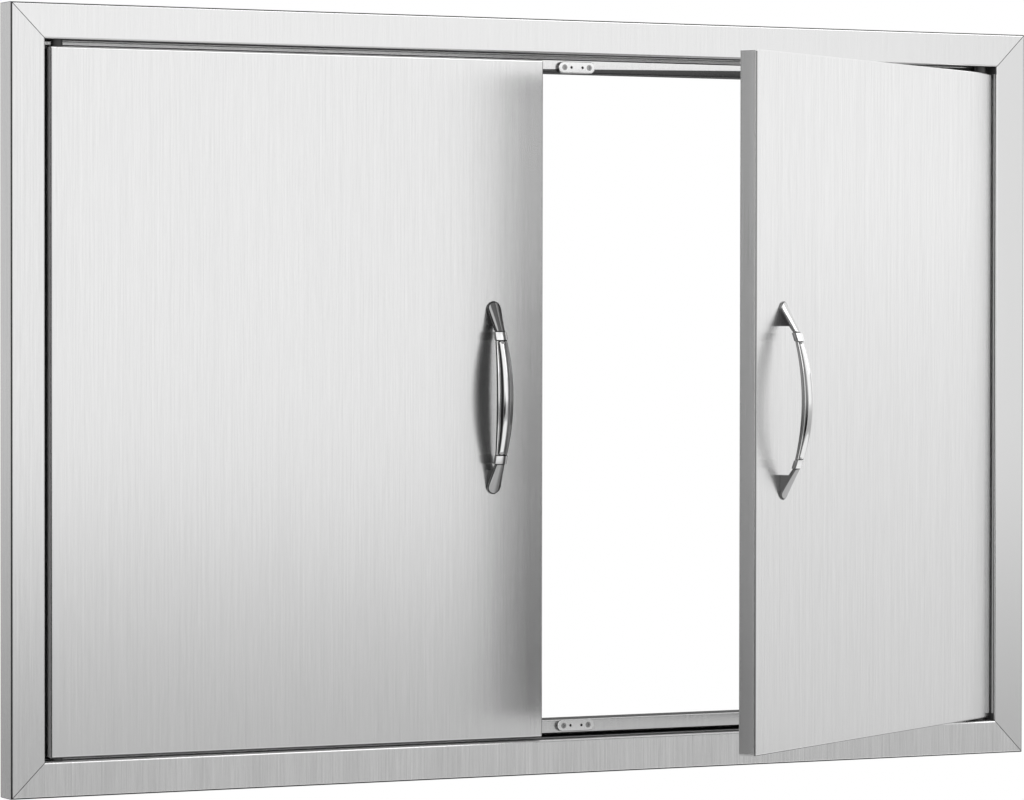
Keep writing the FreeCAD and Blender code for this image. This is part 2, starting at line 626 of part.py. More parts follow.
def build_door_stiffener(side, lead):
    """A hat channel up the middle of the door that ties the skin to the liner."""
    body = new_body("%s_door_stiffener" % side)
    profile = sketch_on(body, "XY_Plane", body.Label + "_profile")
    middle = "(%d * (%s - dims.pivot_inset) / 2)" % (lead, DOOR_FREE)
    crown = "dims.stiffener_crown / 2"
    brim = "(dims.stiffener_crown / 2 + dims.stiffener_brim)"
    front = DOOR_FACE + " + dims.gauge"
    back = DOOR_BACK + " - dims.gauge"
    outline(profile, (
        (middle + " - " + brim, front), (middle + " - " + crown, front),
        (middle + " - " + crown, back + " - dims.gauge"),
        (middle + " + " + crown, back + " - dims.gauge"),
        (middle + " + " + crown, front), (middle + " + " + brim, front),
        (middle + " + " + brim, front + " + dims.gauge"),
        (middle + " + " + crown + " + dims.gauge", front + " + dims.gauge"),
        (middle + " + " + crown + " + dims.gauge", back),
        (middle + " - " + crown + " - dims.gauge", back),
        (middle + " - " + crown + " - dims.gauge", front + " + dims.gauge"),
        (middle + " - " + brim, front + " + dims.gauge")))
    pad(body, profile, "2 * (%s - dims.stiffener_end_gap)" % DOOR_TOP, both_ways=True)
    place_on_door(body, side, lead)


def build_pivot_block(end, up, side, lead):
    """A steel block welded in the door's corner that holds a bushing."""
    body = new_body("%s_pivot_block_%s" % (side, end))
    profile = sketch_on(body, "XY_Plane", body.Label + "_profile", pivot_end(up))
    low, high = door_span(lead, "dims.gauge - dims.pivot_inset",
                          "dims.gauge - dims.pivot_inset + dims.block_width")
    rectangle(profile, low, DOOR_FACE + " + dims.gauge", high, DOOR_BACK + " - dims.gauge")
    circle(profile, "0", "0", "2 * %s" % BUSHING_RADIUS)
    pad(body, profile, "dims.block_height", reverse=up > 0)
    place_on_door(body, side, lead)


def pivot_end(up):
    """Give the height of the inside of the door's end return."""
    return DOOR_TOP + " - dims.gauge" if up > 0 else DOOR_BOTTOM + " + dims.gauge"


def build_bushing(end, up, side, lead):
    """A nylon bushing flush with the door's end, in which the pivot pin turns."""
    body = new_body("%s_bushing_%s" % (side, end))
    profile = sketch_on(body, "XY_Plane", body.Label + "_profile",
                        DOOR_TOP if up > 0 else DOOR_BOTTOM)
    circle(profile, "0", "0", "2 * %s" % BUSHING_RADIUS)
    circle(profile, "0", "0", "dims.pin_diameter + 2 * dims.running_clearance")
    pad(body, profile, "dims.bushing_length", reverse=up > 0)
    place_on_door(body, side, lead)


def blend(at_neck, at_middle, share):
    """Give a size of the bow at a share of the way from its middle to its neck. It changes
    as a parabola, like the arch itself."""
    return "(%s + (%s - %s) * %.4f)" % (at_neck, at_middle, at_neck, 1 - share * share)


def bow_depths(share):
    """Give the door's face to the bow's inside and to its front facet, at one station."""
    inner = blend("dims.handle_neck_inner", "dims.handle_grip_inner", share)
    front = blend("dims.handle_neck_outer", "dims.handle_rise", share)
    return inner, front


def bow_section(body, lead, index, share):
    """A cross-section of the bow: flat back, upright sides, two bevels and a front facet."""
    section = sketch_on(body, "XY_Plane", "%s_section_%d" % (body.Label, index),
                        "%.4f * dims.handle_neck_place" % share)
    inner, front = bow_depths(share)
    drop = blend("dims.handle_neck_drop", "dims.handle_grip_drop", share)
    half = blend("dims.handle_neck_width / 2", "dims.handle_grip_width / 2", share)
    facet = blend("dims.handle_neck_facet / 2", "dims.handle_grip_facet / 2", share)
    right_side = ((half, inner), (half, "(%s - %s)" % (front, drop)), (facet, front))
    left_side = tuple(("-" + across, out) for across, out in reversed(right_side))
    outline(section, [("%d * %s + %s" % (lead, HANDLE_X, across), "%s - %s" % (DOOR_FACE, out))
                      for across, out in right_side + left_side])
    return section


def loft(body, sections, label):
    """Loft through sections that are all in the same body."""
    feature = body.newObject("PartDesign::AdditiveLoft", "%s_%s" % (body.Label, label))
    feature.Profile = sections[0]
    feature.Sections = sections[1:]
    doc.recompute()
    return feature


def leg_outline(sketch, centre, up):
    """Draw a leg seen from the front: a taper from the neck to a round tip."""
    tip = "%d * (dims.handle_length - dims.handle_foot_width) / 2" % up
    neck = "%d * dims.handle_neck_place" % up
    middle = FreeCAD.Vector(number(centre), number(tip), 0)
    radius = number("dims.handle_foot_width / 2")
    turn = 0 if up > 0 else math.pi
    arc = sketch.addGeometry(Part.ArcOfCircle(Part.Circle(middle, AROUND_Z, radius),
                                              turn, turn + math.pi))
    first = "%s - %d * dims.handle_neck_width / 2" % (centre, up)
    second = "%s + %d * dims.handle_neck_width / 2" % (centre, up)
    corners = [FreeCAD.Vector(number(x), number(neck), 0) for x in (first, second)]
    away = sketch.addGeometry(Part.LineSegment(sketch.getPoint(arc, 2), corners[0]))
    across = sketch.addGeometry(Part.LineSegment(corners[0], corners[1]))
    back = sketch.addGeometry(Part.LineSegment(corners[1], sketch.getPoint(arc, 1)))
    sketch.addConstraint(Sketcher.Constraint("Tangent", arc, 2, away, 1))
    sketch.addConstraint(Sketcher.Constraint("Coincident", away, 2, across, 1))
    sketch.addConstraint(Sketcher.Constraint("Coincident", across, 2, back, 1))
    sketch.addConstraint(Sketcher.Constraint("Tangent", back, 2, arc, 1))
    size = sketch.addConstraint(Sketcher.Constraint("Radius", arc, radius))
    sketch.setExpression("Constraints[%d]" % size, "dims.handle_foot_width / 2")
    pin_point(sketch, arc, 3, centre, tip)
    pin_point(sketch, across, 1, first, neck)
    pin_point(sketch, across, 2, second, neck)


def leg_cut(sketch, up, corners):
    """Draw a region to cut from a leg seen from the side. Each corner is a height above the
    door's face and a distance from the middle of the bow."""
    outline(sketch, [("%s - %s" % (DOOR_FACE, out), "%d * (%s)" % (up, place_z))
                     for out, place_z in corners])


def build_handle_legs(body, lead):
    """Both legs of a handle: wedges on the door whose slanted fronts end in round tips."""
    centre = "%d * %s" % (lead, HANDLE_X)
    faces = sketch_on(body, "XZ_Plane", body.Label + "_legs", "-" + DOOR_FACE)
    sides = sketch_on(body, "YZ_Plane", body.Label + "_leg_cuts", centre)
    tip = "dims.handle_length / 2"
    neck = "dims.handle_neck_place"
    foot = "dims.handle_length / 2 - dims.handle_foot_length"
    outer = "dims.handle_neck_outer"
    for up in (1, -1):
        leg_outline(faces, centre, up)
        leg_cut(sides, up, (("dims.handle_tip_height", tip), (outer, neck), ("2 * " + outer, neck),
                            ("2 * " + outer, tip + " + " + PASS),
                            ("dims.handle_tip_height", tip + " + " + PASS)))
        leg_cut(sides, up, (("-" + PASS, foot), ("dims.handle_foot_height", foot),
                            ("dims.handle_neck_inner", neck),
                            ("dims.handle_neck_inner", neck + " - " + PASS),
                            ("-" + PASS, neck + " - " + PASS)))
    pad(body, faces, outer)
    pocket(body, sides, "2 * dims.handle_foot_width", both_ways=True)
    round_edges(body, "dims.handle_leg_radius", on_leg_front)


def on_leg_front(edge):
    """Tell whether an edge bounds a leg's slanted front, other than at the neck."""
    tip = number("dims.handle_length / 2")
    neck = number("dims.handle_neck_place")
    low = number("dims.handle_tip_height")
    slope = (number("dims.handle_neck_outer") - low) / (tip - neck)
    middle = edge.valueAt((edge.FirstParameter + edge.LastParameter) / 2)
    points = [vertex.Point for vertex in edge.Vertexes] + [middle]
    face = number(DOOR_FACE)
    slanted = all(abs(face - point.y - low - slope * (tip - abs(point.z))) < NEAR
                  for point in points)
    return slanted and abs(abs(middle.z) - neck) > NEAR


def build_handle(side, lead):
    """A cast bow handle: an arched grip with a lens-shaped facet, on two wedge legs."""
    body = new_body("%s_handle" % side)
    build_handle_legs(body, lead)
    sections = [bow_section(body, lead, index, share)
                for index, share in enumerate(BOW_STATIONS)]
    loft(body, sections, "grip")
    for end, up in ENDS:
        build_collar(body, lead, end, up)
    drill_handle_feet(body, lead)
    place_on_door(body, side, lead)


def build_collar(body, lead, end, up):
    """A ring cast round the bow just before its neck, sloping with the bow."""
    ring = sketch_on(body, "YZ_Plane", "%s_collar_%s" % (body.Label, end),
                     "%d * %s" % (lead, HANDLE_X))
    proud = "dims.handle_collar_proud"
    corners = []
    for toward, sides in ((-1, (1, -1)), (1, (-1, 1))):
        place_z = "(dims.handle_collar_place + %d * dims.handle_collar_length / 2)" % toward
        depths = bow_depths(number(place_z + " / dims.handle_neck_place"))
        for side in sides:
            depth = "(%s + %s)" % (depths[1], proud) if side > 0 else "(%s - %s)" % (depths[0],
                                                                                     proud)
            corners.append(("%s - %s" % (DOOR_FACE, depth), "%d * %s" % (up, place_z)))
    outline(ring, corners)
    pad(body, ring, "dims.handle_collar_width", both_ways=True)
    round_edges(body, "dims.handle_collar_radius", lambda edge: on_collar(edge, lead, up))


def on_collar(edge, lead, up):
    """Tell whether an edge is one of the four long edges of a collar."""
    half = number("dims.handle_collar_width / 2")
    place_z = number("dims.handle_collar_place")
    length = number("dims.handle_collar_length")
    middle = lead * number(HANDLE_X)
    heights = sorted(up * vertex.Point.z for vertex in edge.Vertexes)
    return (all(abs(abs(vertex.Point.x - middle) - half) < NEAR for vertex in edge.Vertexes)
            and abs(heights[0] - place_z + length / 2) < NEAR
            and abs(heights[-1] - place_z - length / 2) < NEAR)


def drill_handle_feet(body, lead):
    """Drill the blind tapped holes for the fixing screws in the two feet."""
    holes = sketch_on(body, "XZ_Plane", body.Label + "_tapped_holes", "-" + DOOR_FACE)
    for sign in ("", "-"):
        circle(holes, "%d * %s" % (lead, HANDLE_X), sign + "dims.handle_screw_place",
               "dims.handle_screw_diameter")
    pocket(body, holes, "dims.handle_screw_reach", reverse=True)


def build_handle_screws(side, lead):
    """The two screws that hold a handle, put in from the back of the door."""
    screws = []
    for up in (1, -1):
        head = doc.addObject("Part::Cylinder", "handle_screw_head")
        bind(head, Radius="dims.handle_screw_head / 2", Height="dims.handle_screw_head_height")
        shank = doc.addObject("Part::Cylinder", "handle_screw_shank")
        bind(shank, Radius="dims.handle_screw_diameter / 2",
             Height="dims.door_thickness + dims.handle_screw_reach + " + PASS,
             Placement__Base__z="-(dims.door_thickness + dims.handle_screw_reach)")
        screw = doc.addObject("Part::MultiFuse", "handle_screw")
        screw.Shapes = [head, shank]
        place(screw, "%d * %s" % (lead, HANDLE_X), DOOR_BACK,
              "%d * dims.handle_screw_place" % up, "-90", AROUND_X)
        screws.append(screw)
    group = doc.addObject("Part::Compound", "%s_handle_screws" % side)
    group.Links = screws
    nodes.append(group)
    place_on_door(group, side, lead)


def build_handle_spacers(side, lead):
    """The two tubes between the door's skins through which the handle's screws pass."""
    tubes = []
    length = "(dims.door_thickness - 2 * dims.gauge)"
    for up in (1, -1):
        outer = doc.addObject("Part::Cylinder", "tube_outside")
        bind(outer, Radius="dims.spacer_tube_diameter / 2", Height=length)
        inner = doc.addObject("Part::Cylinder", "tube_bore")
        bind(inner, Radius="dims.handle_screw_diameter / 2", Height=length)
        tube = doc.addObject("Part::Cut", "handle_spacer")
        tube.Base = outer
        tube.Tool = inner
        place(tube, "%d * %s" % (lead, HANDLE_X), DOOR_FACE + " + dims.gauge",
              "%d * dims.handle_screw_place" % up, "-90", AROUND_X)
        tubes.append(tube)
    group = doc.addObject("Part::Compound", "%s_handle_spacers" % side)
    group.Links = tubes
    nodes.append(group)
    place_on_door(group, side, lead)


def build_frame():
    """Everything that stays with the island when the doors move."""
    for side, turn, reach, half_span in four_sides():
        build_trim(side, turn, reach, half_span)
        build_liner(side, turn, reach, half_span)
        build_stop(side, turn, reach, half_span)
    for end, up in ENDS:
        for side, along in (("left", -1), ("right", 1)):
            build_gusset(end, up, side, along)
            build_catch(end, up, side, along)
            build_pivot_pin(end, up, side, along)
    build_catch_screws()
    build_pin_rings("pivot_spacers", 1, "dims.top_gap")
    build_pin_rings("pivot_washers", -1, "dims.bottom_gap")


def build_door(side, lead):
    """Everything that swings with one door. Lead is the sign of X towards its free edge."""
    build_door_skin(side, lead)
    build_door_liner(side, lead)
    build_door_stiffener(side, lead)
    for end, up in ENDS:
        build_pivot_block(end, up, side, lead)
        build_bushing(end, up, side, lead)
    build_handle(side, lead)
    build_handle_screws(side, lead)
    build_handle_spacers(side, lead)


def check_objects():
    """Stop if any object is invalid or in error, or a sub-part's shape isn't sound."""
    for item in doc.Objects:
        if "Invalid" in item.State or "Error" in item.State:
            raise RuntimeError("%s is %s" % (item.Label, item.State))
    for node in nodes:
        if node.Shape.isNull() or not node.Shape.isValid() or not node.Shape.Solids:
            raise RuntimeError("%s has no sound solid" % node.Label)


def export_nodes():
    """Write each sub-part to its own STEP file, where it stands in the row frame."""
    os.makedirs("parts", exist_ok=True)
    for node in nodes:
        node.Shape.exportStep("parts/%s.step" % node.Label)
        box = node.Shape.BoundBox
        print("%-28s %2d solid(s) %9.1f mm3  x %7.1f %7.1f  y %7.1f %7.1f  z %7.1f %7.1f" % (
            node.Label, len(node.Shape.Solids), node.Shape.Volume,
            box.XMin, box.XMax, box.YMin, box.YMax, box.ZMin, box.ZMax))


fill_sheet()
build_frame()
for door_side, door_lead in DOORS:
    build_door(door_side, door_lead)
doc.recompute()
check_objects()
export_nodes()
print("%d nodes" % len(nodes))
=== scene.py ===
import functools
import json
import math

import bpy
from mathutils import Matrix, Vector


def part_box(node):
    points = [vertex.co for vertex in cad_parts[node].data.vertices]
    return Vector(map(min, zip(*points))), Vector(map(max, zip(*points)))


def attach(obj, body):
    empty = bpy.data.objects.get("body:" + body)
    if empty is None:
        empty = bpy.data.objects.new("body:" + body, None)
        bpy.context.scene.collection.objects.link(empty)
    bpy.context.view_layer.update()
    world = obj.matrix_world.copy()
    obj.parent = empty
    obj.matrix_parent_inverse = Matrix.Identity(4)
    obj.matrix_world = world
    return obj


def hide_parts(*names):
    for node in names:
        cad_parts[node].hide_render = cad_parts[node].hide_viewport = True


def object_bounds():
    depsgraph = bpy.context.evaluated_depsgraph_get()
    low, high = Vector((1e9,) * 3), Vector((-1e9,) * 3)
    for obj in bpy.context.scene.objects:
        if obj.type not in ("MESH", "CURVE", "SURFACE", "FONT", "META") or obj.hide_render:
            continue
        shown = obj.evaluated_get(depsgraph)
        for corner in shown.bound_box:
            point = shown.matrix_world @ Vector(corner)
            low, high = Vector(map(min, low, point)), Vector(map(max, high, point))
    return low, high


bl_info = {
    "name": "Island Access Door",
    "version": (1, 0, 0),
    "blender": (4, 5, 0),
    "location": "View3D > Sidebar > Access Door",
    "description": "Dresses the packed access door: brushed steel, bow handles and a studio",
    "category": "Object",
}

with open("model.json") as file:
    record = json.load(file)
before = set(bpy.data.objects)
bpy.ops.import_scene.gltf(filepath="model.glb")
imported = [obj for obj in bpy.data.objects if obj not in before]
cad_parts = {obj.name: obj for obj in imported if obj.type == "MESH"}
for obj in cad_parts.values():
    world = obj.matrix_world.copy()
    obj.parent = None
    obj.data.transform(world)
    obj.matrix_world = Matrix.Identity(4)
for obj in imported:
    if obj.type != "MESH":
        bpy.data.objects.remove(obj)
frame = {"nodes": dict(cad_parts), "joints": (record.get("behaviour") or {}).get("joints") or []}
NODES = frame["nodes"]
CAD_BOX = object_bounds()

# The camera stands where the photograph was taken, in metres and degrees.
CAMERA_PLACE = (-1.8752, -3.6847, 0.0706)
CAMERA_YAW = 26.7345
CAMERA_PITCH = -1.0165
CAMERA_ROLL = 0.0858
CAMERA_LENS = 165.49

# The right door stands open by this angle at rest. Both doors end at this height.
DOOR_OPEN = math.radians(32.3)
DOOR_TOP = 0.2935

# A handle's sizes in metres. Places are from its middle, heights from the door's face.
NECK_PLACE = 0.0575
NECK_INNER = 0.0115
NECK_OUTER = 0.0156
NECK_DROP = 0.0016
GRIP_INNER = 0.0213
GRIP_DROP = 0.0038
LEG_DROP = 0.0024
COLLAR_PLACE = 0.0536
COLLAR_LENGTH = 0.0070
COLLAR_START = COLLAR_PLACE - COLLAR_LENGTH / 2
COLLAR_PROUD = 0.0009
COLLAR_NOTCH = 0.0008
LENS_MIDDLE = 0.0042
LENS_END = 0.0033
LENS_TIP = 0.0036
LENS_STOP = COLLAR_START - LENS_TIP
LENS_LINE = 0.0004
LIP = 0.0007
RAIL_GROOVE = 0.0003
SIDE_GROOVE = 0.0003
SIDE_GROOVE_DEPTH = 0.0016
SHOULDER = 0.0003
LEAST_RISE = 0.0001
LEAST_LENS = 0.0002
FOOT_LENGTH = 0.0212
FOOT_HEIGHT = 0.0078
TIP_HEIGHT = 0.0009
EDGE_RADIUS = 0.0005

# A handle's cross-sections: how many along half a bow, a leg and a foot, and the degrees between
# those round the tips of the lens and of the foot. The last is for the points across the lens.
BOW_STEPS = 34
LEG_STEPS = 4
FOOT_STEPS = 8
LENS_TIP_TURN = 9
FOOT_TIP_TURN = 7.4
LENS_STEPS = 9

# Painted shade and painted reflections of each handle, which make lit and shaded copies of one
# plating: the flank that looks left and the one that looks right, the back, the dark lines, the
# legs and the far rail, and how far the lens is kept clear of the flanks' tones.
HANDLE_PAINTED_TONES = {
    "left": {"near_flank": 0.12, "far_flank": 0.15, "back": 0.06, "line": 0.04,
             "low_leg": 1.0, "high_leg": 0.5, "far_rail": 0.22, "clear_lens": 0.0},
    "right": {"near_flank": 0.35, "far_flank": 0.9, "back": 0.7, "line": 0.2,
              "low_leg": 0.5, "high_leg": 0.8, "far_rail": 1.0, "clear_lens": 1.0},
}
# The collars' tone is a painted highlight on their front; their satin blur is their own finish.
COLLAR_HIGHLIGHT = 0.97
COLLAR_SATIN = 0.2

# Brush lines run up the object. The vector leans a little, so that it is never square to a face.
BRUSH_DIRECTION = (0.021, 0.013, 1.0)

# Scratches and bands are the brush lines' pattern, stretched by these factors.
SCRATCH_STRETCH = (1.4, 1.4, 9.0)
BAND_STRETCH = (0.13, 0.13, 0.35)

# How far each mark swings the steel's tone and blur.
LINE_SWING = 0.11
SCRATCH_SWING = 0.09
BAND_SWING = 0.03
CLOUD_SWING = 0.02
BAND_BLUR = 0.05
CLOUD_BLUR = 0.03
CLOUD_SIZE = 0.22

# The tone of the painted shade on the dark folds and their added blur, how metallic dark and lit
# folds are, and the tone of the dark lines.
FOLD_SHADE_TONE = 0.07
FOLD_BLUR = 0.6
FOLD_METAL = 0.1
# The lines are the mitres' own seam lines and painted shade on the bends and on the upper stop.
LINE_TONE = 0.1

# How squarely a fold looks to the front at most, and a flat face at least, and how squarely a
# dark fold looks away from the middle of the opening at most.
FOLD_SHARE = 0.15
FACE_SHARE = 0.4
INWARD_SHARE = -0.02

# The same for the bends that have a line of painted shade, on the trim and on the doors, and for
# the doors' tops, which have none. A door's lines have this strength.
TRIM_BEND = (0.1, 0.95)
DOOR_BEND = (0.15, 0.93)
DOOR_TOP_SHARE = 0.1
DOOR_LINE = 0.75

# Half sizes of the rectangles whose folds have painted shade: within the trim, and within the
# liner.
TRIM_OPENING = {"half_width": 0.467, "half_height": 0.302}
LINER_OPENING = {"half_width": 0.5, "half_height": 0.35}

# Front and back of the strips of the folds that catch the room's light, in metres along Y.
LIT_DEPTHS = (-1.0, -0.0175)
RIGHT_LIT_DEPTHS = (-0.0222, -0.0198)

# Half the width of the dark line along a mitre, the seam's own, and the reach of the outer
# bends, whose dark line is painted shade, in metres.
MITRE_LINE = 0.0004
OUTER_BEND = 0.004

# Painted shade on the upper stop, a dark band: its top at the middle of the object and its
# growth to the right.
STOP_SHADE_TOP = 0.2875
STOP_SHADE_GROWTH = 0.016

# A plating's patches and ripples: sizes in metres, and how far they swing its tone and blur.
PATCH_SIZE = 0.03
RIPPLE_SIZE = 0.006
PLATING_SWING = 0.05
DULL_SWING = 0.12

# Strength and height in metres of each finish's bump.
STEEL_BUMP = 0.0004
PLATING_BUMP = (0.03, 0.0004)
DULL_BUMP = (0.15, 0.0003)

# The floor's fade to white: where it starts and ends, in metres, and its haste behind the door.
FLOOR_FADE = (1.5, 16.0)
FLOOR_FADE_BEHIND = 7.0

# The soft lamp at the front right, in metres.
KEY_SIZE = (3.2, 2.4)
KEY_PLACE = (2.6, -3.0, 2.2)
KEY_AIM = (0.1, 0, 0)

WHITE = (1, 1, 1, 1)


class SteelSettings(bpy.types.PropertyGroup):
    """Finish of the brushed sheet steel."""

    tone: bpy.props.FloatProperty(
        name="Tone", description="How light the bare steel is", default=0.84,
        min=0.0, max=1.0, subtype="FACTOR")
    roughness: bpy.props.FloatProperty(
        name="Roughness", description="Blur of the reflections", default=0.19,
        min=0.0, max=1.0, subtype="FACTOR")
    grain_pitch: bpy.props.FloatProperty(
        name="Grain pitch", description="Width of one brush line", default=0.0016,
        min=0.0002, max=0.02, unit="LENGTH", precision=4)
    grain_length: bpy.props.FloatProperty(
        name="Grain length", description="Length of one brush line", default=0.30,
        min=0.01, max=2.0, unit="LENGTH")
    grain_depth: bpy.props.FloatProperty(
        name="Grain depth", description="How strongly the brush lines tilt the surface",
        default=0.05, min=0.0, max=1.0, subtype="FACTOR")


class PlatingSettings(bpy.types.PropertyGroup):
    """Finish of the plated castings and pressings."""

    tone: bpy.props.FloatProperty(
        name="Tone", description="How light the plating is", default=0.88,
        min=0.0, max=1.0, subtype="FACTOR")
    roughness: bpy.props.FloatProperty(
        name="Roughness", description="Blur of the reflections", default=0.10,
        min=0.0, max=1.0, subtype="FACTOR")


class HandleSettings(bpy.types.PropertyGroup):
    """Sizes of the cast bow handles."""

    length: bpy.props.FloatProperty(
        name="Length", description="Overall length", default=0.168, min=0.12, max=0.3,
        unit="LENGTH", precision=4)
    rise: bpy.props.FloatProperty(
        name="Rise", description="Door's face to the crown of the bow", default=0.0285,
        min=0.018, max=0.06, unit="LENGTH", precision=4)
    grip_width: bpy.props.FloatProperty(
        name="Grip width", description="Width at the middle", default=0.0148, min=0.01,
        max=0.03, unit="LENGTH", precision=4)
    neck_width: bpy.props.FloatProperty(
        name="Neck width", description="Width where the bow meets a leg", default=0.0088,
        min=0.005, max=0.02, unit="LENGTH", precision=4)
    foot_width: bpy.props.FloatProperty(
        name="Foot width", description="Width of a foot's round tip", default=0.0132,
        min=0.008, max=0.03, unit="LENGTH", precision=4)
    collar_width: bpy.props.FloatProperty(
        name="Collar width", description="Width of a collar", default=0.0109,
        min=0.006, max=0.03, unit="LENGTH", precision=4)


class StudioSettings(bpy.types.PropertyGroup):
    """Floor, cards and light round the door."""

    floor_gap: bpy.props.FloatProperty(
        name="Floor gap", description="Height at which the frame hangs above the floor",
        default=0.35, min=0.0, max=2.0, unit="LENGTH")
    floor_tone: bpy.props.FloatProperty(
        name="Floor tone", description="How light the floor is", default=0.82,
        min=0.0, max=1.0, subtype="FACTOR")
    floor_image: bpy.props.FloatProperty(
        name="Floor image", description="How light the near floor looks in the steel",
        default=0.40, min=0.0, max=1.0, subtype="FACTOR")
    dark_card: bpy.props.FloatProperty(
        name="Dark card", description="How light the dark card at the left is",
        default=0.03, min=0.0, max=1.0, subtype="FACTOR")
    back_card: bpy.props.FloatProperty(
        name="Back card", description="How light the card behind the left side is",
        default=0.62, min=0.0, max=1.0, subtype="FACTOR")
    ambient: bpy.props.FloatProperty(
        name="Ambient", description="Strength of the light from all round", default=0.70,
        min=0.0, max=2.0)
    key_power: bpy.props.FloatProperty(
        name="Key power", description="Power of the lamp at the front right", default=30.0,
        min=0.0, max=500.0, unit="POWER")


class NodeWriter:
    """Adds nodes to an empty tree from left to right and links them."""

    COLUMN_WIDTH = 190
    ROW_HEIGHT = 40
    ROWS = 5

    def __init__(self, tree):
        tree.nodes.clear()
        self.tree = tree
        self.column = 0

    def add(self, kind, values=None, **options):
        """Add a node with its options and fill its inputs."""
        node = self.tree.nodes.new(kind)
        node.location = (self.column * self.COLUMN_WIDTH,
                         -self.ROW_HEIGHT * (self.column % self.ROWS))
        self.column += 1
        for key, value in options.items():
            setattr(node, key, value)
        self.fill(node, values or {})
        return node

    def fill(self, node, values):
        """Link the values that are sockets to a node's inputs, and set the others."""
        for key, value in values.items():
            if isinstance(value, bpy.types.NodeSocket):
                self.tree.links.new(value, node.inputs[key])
            else:
                node.inputs[key].default_value = value

    def math(self, operation, first, second=0.0, third=0.0):
        """The result of one sum."""
        node = self.add("ShaderNodeMath", {0: first, 1: second, 2: third},
                        operation=operation)
        return node.outputs[0]

    def vector(self, operation, first, second=(0, 0, 0)):
        """The result of one sum with vectors."""
        node = self.add("ShaderNodeVectorMath", {0: first, 1: second}, operation=operation)
        return node.outputs["Value" if operation in ("DOT_PRODUCT", "LENGTH") else "Vector"]

    def noise(self, place, seed, detail, roughness, scale=1.0):
        """A cloudy pattern about a half."""
        node = self.add("ShaderNodeTexNoise",
                        {"Vector": place, "W": seed, "Scale": scale, "Detail": detail,
                         "Roughness": roughness}, noise_dimensions="4D")
        return node.outputs[0]

    def ramp(self, value, low, high, start=0.0, end=1.0, **options):
        """From start to end while a value goes from low to high."""
        node = self.add("ShaderNodeMapRange",
                        {"Value": value, "From Min": low, "From Max": high,
                         "To Min": start, "To Max": end}, **options)
        return node.outputs[0]

    def place(self):
        """Where a point is on the object."""
        return self.add("ShaderNodeTexCoord").outputs["Object"]

    def axes(self):
        """Where a point is on the object, as X, Y and Z."""
        return self.add("ShaderNodeSeparateXYZ", {0: self.place()}).outputs

    def share(self, direction):
        """How squarely the surface faces a direction."""
        normal = self.add("ShaderNodeTexCoord").outputs["Normal"]
        return self.vector("DOT_PRODUCT", normal, direction)

    def product(self, first, *others):
        """All values multiplied."""
        for other in others:
            first = self.math("MULTIPLY", first, other)
        return first

    def total(self, first, *others):
        """All values added."""
        for other in others:
            first = self.math("ADD", first, other)
        return first

    def apart(self, first, second):
        """How far two values are from each other."""
        return self.math("ABSOLUTE", self.math("SUBTRACT", first, second))

    def band(self, value, low, high):
        """One where a value lies between two limits."""
        return self.product(self.math("GREATER_THAN", value, low),
                            self.math("LESS_THAN", value, high))

    def between(self, mask, none, full):
        """One number where a mask is nothing and another where it is one."""
        return self.math("MULTIPLY_ADD", mask, full - none, none)

    def spread(self, mask, middle, swing):
        """Turn a mask about a half into a value about the middle."""
        return self.math("MULTIPLY_ADD", self.math("SUBTRACT", mask, 0.5), swing, middle)


def node_group(name, **inputs):
    """Make a drawing function into one that places its node group, built on the first use.

    The inputs are given with their defaults. The drawing function returns its outputs by name.
    """

    def label(key):
        return key.replace("_", " ").title()

    def build(draw):
        tree = bpy.data.node_groups.new(name, "ShaderNodeTree")
        for key, value in inputs.items():
            kind = "NodeSocketVector" if isinstance(value, tuple) else "NodeSocketFloat"
            socket = tree.interface.new_socket(label(key), in_out="INPUT", socket_type=kind)
            socket.default_value = value
        writer = NodeWriter(tree)
        entry = writer.add("NodeGroupInput")
        results = draw(writer, **{key: entry.outputs[label(key)] for key in inputs})
        for key in results:
            tree.interface.new_socket(label(key), in_out="OUTPUT",
                                      socket_type="NodeSocketFloat")
        writer.add("NodeGroupOutput", {label(key): value for key, value in results.items()})
        return tree

    def wrap(draw):
        @functools.wraps(draw)
        def place(writer, **values):
            node = writer.add("ShaderNodeGroup")
            node.node_tree = bpy.data.node_groups.get(name) or build(draw)
            writer.fill(node, {label(key): value for key, value in values.items()})
            return node.outputs

        return place

    return wrap


@node_group("Brush grain", pitch=0.0016, length=0.3, seed=0.0)
def brush_grain(writer, pitch, length, seed):
    """Fine lines that run up the object, from noise stretched along Z."""
    across = writer.math("DIVIDE", 1.0, pitch)
    along = writer.math("DIVIDE", 1.0, length)
    scale = writer.add("ShaderNodeCombineXYZ", {"X": across, "Y": across, "Z": along})
    place = writer.vector("MULTIPLY", writer.place(), scale.outputs[0])
    fine = writer.noise(place, seed, detail=2.0, roughness=0.6)
    short = writer.noise(writer.vector("MULTIPLY", place, SCRATCH_STRETCH), seed,
                         detail=1.0, roughness=0.5)
    broad = writer.noise(writer.vector("MULTIPLY", place, BAND_STRETCH), seed,
                         detail=3.0, roughness=0.65)
    mixed = writer.math("MULTIPLY_ADD", broad, 0.5, fine)
    return {"lines": fine, "scratches": short, "bands": broad,
            "height": writer.math("MULTIPLY", mixed, 0.667)}


@node_group("Handling", size=0.2, seed=0.0)
def handling(writer, size, seed):
    """Slow cloudy patches, from wiping and handling."""
    scale = writer.math("DIVIDE", 1.0, size)
    return {"patches": writer.noise(writer.place(), seed, detail=3.0, roughness=0.55,
                                    scale=scale)}


@node_group("Facing", direction=(0.0, -1.0, 0.0), low=0.1, high=0.5)
def facing(writer, direction, low, high):
    """One where the surface faces a direction, falling to nothing at its sides."""
    return {"mask": writer.ramp(writer.share(direction), low, high,
                                interpolation_type="SMOOTHSTEP")}


